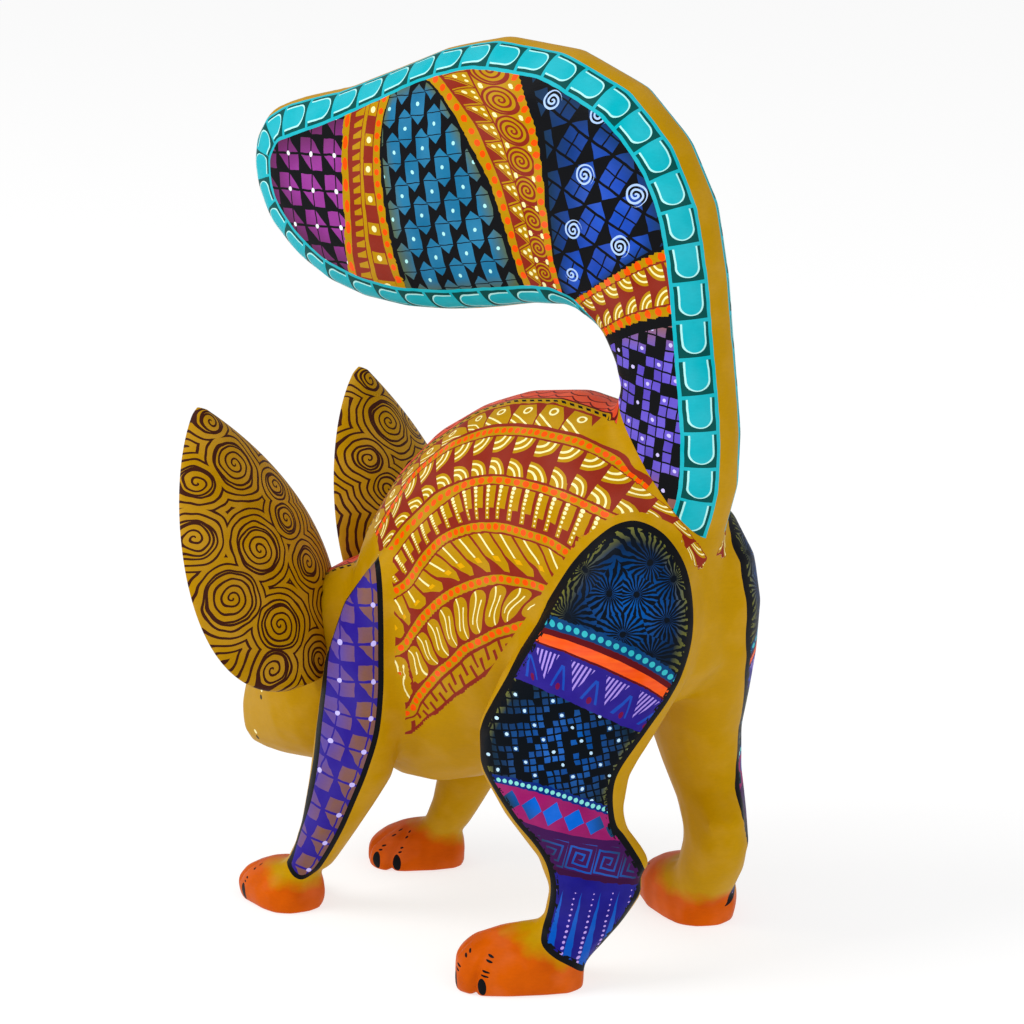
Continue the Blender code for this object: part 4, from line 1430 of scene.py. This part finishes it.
def paint_face(coat):
    """A plain fox face: almond eyes, a dark nose, a thin mouth and a few whisker spots, each with a painted
    highlight in cream just above it.
    """
    half = abs(coat.x)
    front = coat.y < -66.0

    def ball(x, y, z, radius):
        a, b, c = half - x, coat.y - y, coat.z - z
        return root(a * a + b * b + c * c) < radius

    ex, ez = half - 12.5, coat.z - 79.0 - (half - 12.5) * 0.35
    for size, colour in ((1.0, BLACK), (0.82, CREAM)):
        coat.lay(front & (root(ex * ex / 30.0 + ez * ez / 9.0) < size), colour)
    coat.lay(front & disc(ex, ez, 2.2), srgb(44, 22, 10))
    nose = root(coat.x * coat.x / 22.0 + (coat.z - 58.0) * (coat.z - 58.0) / 12.0)
    coat.lay((coat.y < -88.0) & (nose < 1.0), BLACK)
    smile = near(coat.z, 48.0 + half * half * 0.035, 0.45) & (half < 9.0)
    coat.lay((coat.y < -84.0) & (smile | (near(half, 0.0, 0.4) & between(coat.z, 48.0, 55.0))),
             srgb(70, 24, 14))
    # Each whisker spot is a black dot under a cream dot; the cream dot is a painted highlight.
    for x, y, z in ((13.2, -83.0, 47.6), (20.3, -75.0, 64.6)):
        coat.lay(ball(x, y, z, 0.95), CREAM)
        coat.lay(ball(x - 0.3, y - 0.4, z - 2.6, 0.95), BLACK)


def paint_body():
    """Fields and paint of the body and the four legs."""
    body_fields(pieces["torso"], "torso")
    coat = Paint("body_paint", MUSTARD)
    paint_flank(coat)
    paint_face(coat)
    coat.finish(pieces["torso"])
    for word in ("left", "right"):
        body_fields(pieces["hind_leg_" + word], "hind")
        body_fields(pieces["foreleg_" + word], "fore")
    coat = Paint("hind_leg_paint", MUSTARD)
    paint_flank(coat, on_leg=True)
    paint_paws(coat, 27.0, HIND_TOES, 1.7)
    paint_hind_panel(coat)
    coat.finish(pieces["hind_leg_left"], pieces["hind_leg_right"])
    coat = Paint("foreleg_paint", MUSTARD)
    paint_paws(coat, 21.0, FORE_TOES, 0.8)
    paint_fore_panel(coat)
    coat.finish(pieces["foreleg_left"], pieces["foreleg_right"])


# ---------------------------------------------------------------- ears

EAR_SPIRALS = ((0, 88, 3.5), (0, 73, 7), (15, 72, 4.4), (24, 56, 5.3), (-11, 51, 3.9), (6, 45.5, 7),
               (-13, 35.5, 4.4),
               (21, 34.5, 7.9), (8, 21, 6.6), (14, 9, 4.8), (-14, 62, 3.6), (-17, 20, 5.0), (-4, 6, 4.0))


def paint_ears():
    """Spirals between contour lines, dark brown on mustard."""
    axis = (EAR_TIP - EAR_FOOT) / np.linalg.norm(EAR_TIP - EAR_FOOT)
    back = np.array((0, 1.0, 0)) - axis[1] * axis
    out = -np.cross(axis, back / np.linalg.norm(back))
    ears = [pieces["ear_left"], pieces["ear_right"]]
    for obj in ears:
        surface = Surface(obj)
        rel = surface.fold - EAR_FOOT
        surface.store("leaf", rel @ out, rel @ axis)
        surface.store_depth()
    coat = Paint("ear_paint", MUSTARD)
    a, b, _ = coat.attribute("leaf")
    wobble, wobble2 = coat.noise(0.16, 1.0), coat.noise(0.16, 1.0, shift=23.0)
    a, b = a + wobble * 1.6, b + wobble2 * 1.6
    best, turn = None, None
    for index, (ca, cb, radius) in enumerate(EAR_SPIRALS):
        da, db = a - ca, b - cb
        away = root(da * da + db * db)
        rim = away - radius
        angle = op("ARCTAN2", db, da) * ((0.5 if index % 3 else -0.5) / math.pi)
        if best is None:
            best, turn, reach = rim, angle, away
        else:
            closer = rim < best
            turn = turn + closer * (angle - turn)
            reach = reach + closer * (away - reach)
            best = least(rim, best)
    wind = near(frac(reach / 2.15 - turn), 0.5, 0.16) & (best < 0.0)
    flow = near(frac(best / 2.2 + coat.noise(0.05, 1.0, shift=8.0) * 2.2), 0.5, 0.16) & (best > 0.0)
    coat.colour = blend(coat.noise(0.07) + 0.5, srgb(166, 120, 10), srgb(190, 142, 18))
    coat.lay(wind | flow | near(best, 0.0, 0.36), srgb(62, 28, 18))
    coat.finish(*ears)


def paint_dowels():
    """Bare wood on the hidden dowels."""
    coat = Paint("bare_wood", MUSTARD)
    coat.colour = wood(coat)
    coat.finish(bare=False)
    for name in ("hip_dowel_upper", "hip_dowel_lower", "shoulder_dowel_left", "shoulder_dowel_right"):
        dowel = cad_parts[name]
        dowel.data.materials.clear()
        dowel.data.materials.append(coat.material)


paint_body()
paint_ears()
paint_dowels()


# ---------------------------------------- shading that runs on across the glued seams


def smooth_tree():
    """The uncut carving's vertices, for finding the nearest ones."""
    tree = KDTree(len(SMOOTH_POINTS))
    for index, point in enumerate(SMOOTH_POINTS):
        tree.insert(point, index)
    tree.balance()
    return tree


def shade_as_one(obj, tree):
    """Gives the outer skin the whole carving's normals; joint faces keep their own."""
    mesh = obj.data
    points = coords(obj)
    normal = np.zeros_like(points)
    skin_point = np.zeros(len(points), bool)
    for i, point in enumerate(points):
        found = tree.find_n(point, 3)
        if found[0][2] < 0.9 * MM:
            weights = np.array([1 / (d + 1e-6) for _, _, d in found])
            mean = (SMOOTH_NORMALS[[k for _, k, _ in found]] * weights[:, None]).sum(0)
            normal[i] = mean / np.linalg.norm(mean)
            skin_point[i] = True
    loops = np.empty(len(mesh.loops), np.int32)
    mesh.loops.foreach_get("vertex_index", loops)
    faces = np.empty(len(mesh.polygons) * 3, np.float32)
    mesh.polygons.foreach_get("normal", faces)
    starts = np.empty(len(mesh.polygons), np.int32)
    totals = np.empty(len(mesh.polygons), np.int32)
    mesh.polygons.foreach_get("loop_start", starts)
    mesh.polygons.foreach_get("loop_total", totals)
    face_of = np.repeat(np.arange(len(starts)), totals)
    face_normal = faces.reshape(-1, 3)[face_of]
    agree = (normal[loops] * face_normal).sum(1) > 0.6
    use = skin_point[loops] & agree
    share = np.bincount(face_of, use.astype(float)) / totals
    use &= (share > 0.99)[face_of]
    corner = np.empty(len(mesh.loops) * 3, np.float32)
    mesh.corner_normals.foreach_get("vector", corner)
    corner = corner.reshape(-1, 3)
    corner[use] = normal[loops[use]]
    mesh.normals_split_custom_set([tuple(n) for n in corner])


tree = smooth_tree()


# ---------------------------------------------------------------- camera, light and floor

AZIMUTH, ELEVATION, DISTANCE, LENS = math.radians(128), math.radians(14), 1.25, 140.6
AIM = Vector((-0.0125, 0.0023, 0.129))


def make_camera():
    back = Vector((math.sin(AZIMUTH) * math.cos(ELEVATION), -math.cos(AZIMUTH) * math.cos(ELEVATION),
                   math.sin(ELEVATION)))
    data = bpy.data.cameras.new("camera")
    data.sensor_width, data.lens = 36.0, LENS
    data.clip_start, data.clip_end = 0.05, 20.0
    camera = bpy.data.objects.new("camera", data)
    camera.matrix_world = Matrix.Translation(AIM + back * DISTANCE) @ back.to_track_quat("Z",
            "Y").to_matrix().to_4x4()
    bpy.context.scene.collection.objects.link(camera)
    bpy.context.scene.camera = camera


def area_light(name, place, aim, size, power):
    data = bpy.data.lights.new(name, "AREA")
    data.shape, data.size, data.energy = "SQUARE", size, power
    lamp = bpy.data.objects.new(name, data)
    direction = Vector(place) - Vector(aim)
    lamp.matrix_world = Matrix.Translation(Vector(place)) @ direction.to_track_quat("Z",
            "Y").to_matrix().to_4x4()
    bpy.context.scene.collection.objects.link(lamp)


def make_stage():
    """A plain pale floor, a bright surround and two soft lamps."""
    floor = new_object("floor", [(-12, -12, 0), (12, -12, 0), (12, 12, 0), (-12, 12, 0)], [(0, 1, 2, 3)])
    material = bpy.data.materials.new("floor")
    material.use_nodes = True
    shader = material.node_tree.nodes["Principled BSDF"]
    shader.inputs["Base Color"].default_value = (0.36, 0.36, 0.36, 1)
    shader.inputs["Emission Color"].default_value = (1, 1, 1, 1)
    shader.inputs["Emission Strength"].default_value = 0.70
    shader.inputs["Specular IOR Level"].default_value = 0.0
    shader.inputs["Roughness"].default_value = 0.6
    floor.data.materials.append(material)
    world = bpy.data.worlds.new("world")
    world.use_nodes = True
    world.node_tree.nodes["Background"].inputs["Color"].default_value = (1, 1, 1, 1)
    world.node_tree.nodes["Background"].inputs["Strength"].default_value = 0.62
    bpy.context.scene.world = world
    aim = (0, 0, 0.12)
    area_light("key", (1.3, -0.9, 1.7), aim, 1.2, 26)
    area_light("side", (0.9, 1.9, 1.3), aim, 1.2, 12)
    bpy.context.scene.view_settings.view_transform = "Standard"


make_camera()
make_stage()


# ---------------------------------------------------------------- what each piece stands for

for node, obj in pieces.items():
    obj.data.polygons.foreach_set("use_smooth", [True] * len(obj.data.polygons))
    obj.data.set_sharp_from_angle(angle=math.radians(42))
    if not node.startswith("ear"):
        shade_as_one(obj, tree)
    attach(obj, node if node in ("tail", "ear_left", "ear_right") else "figure")
    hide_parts(node)
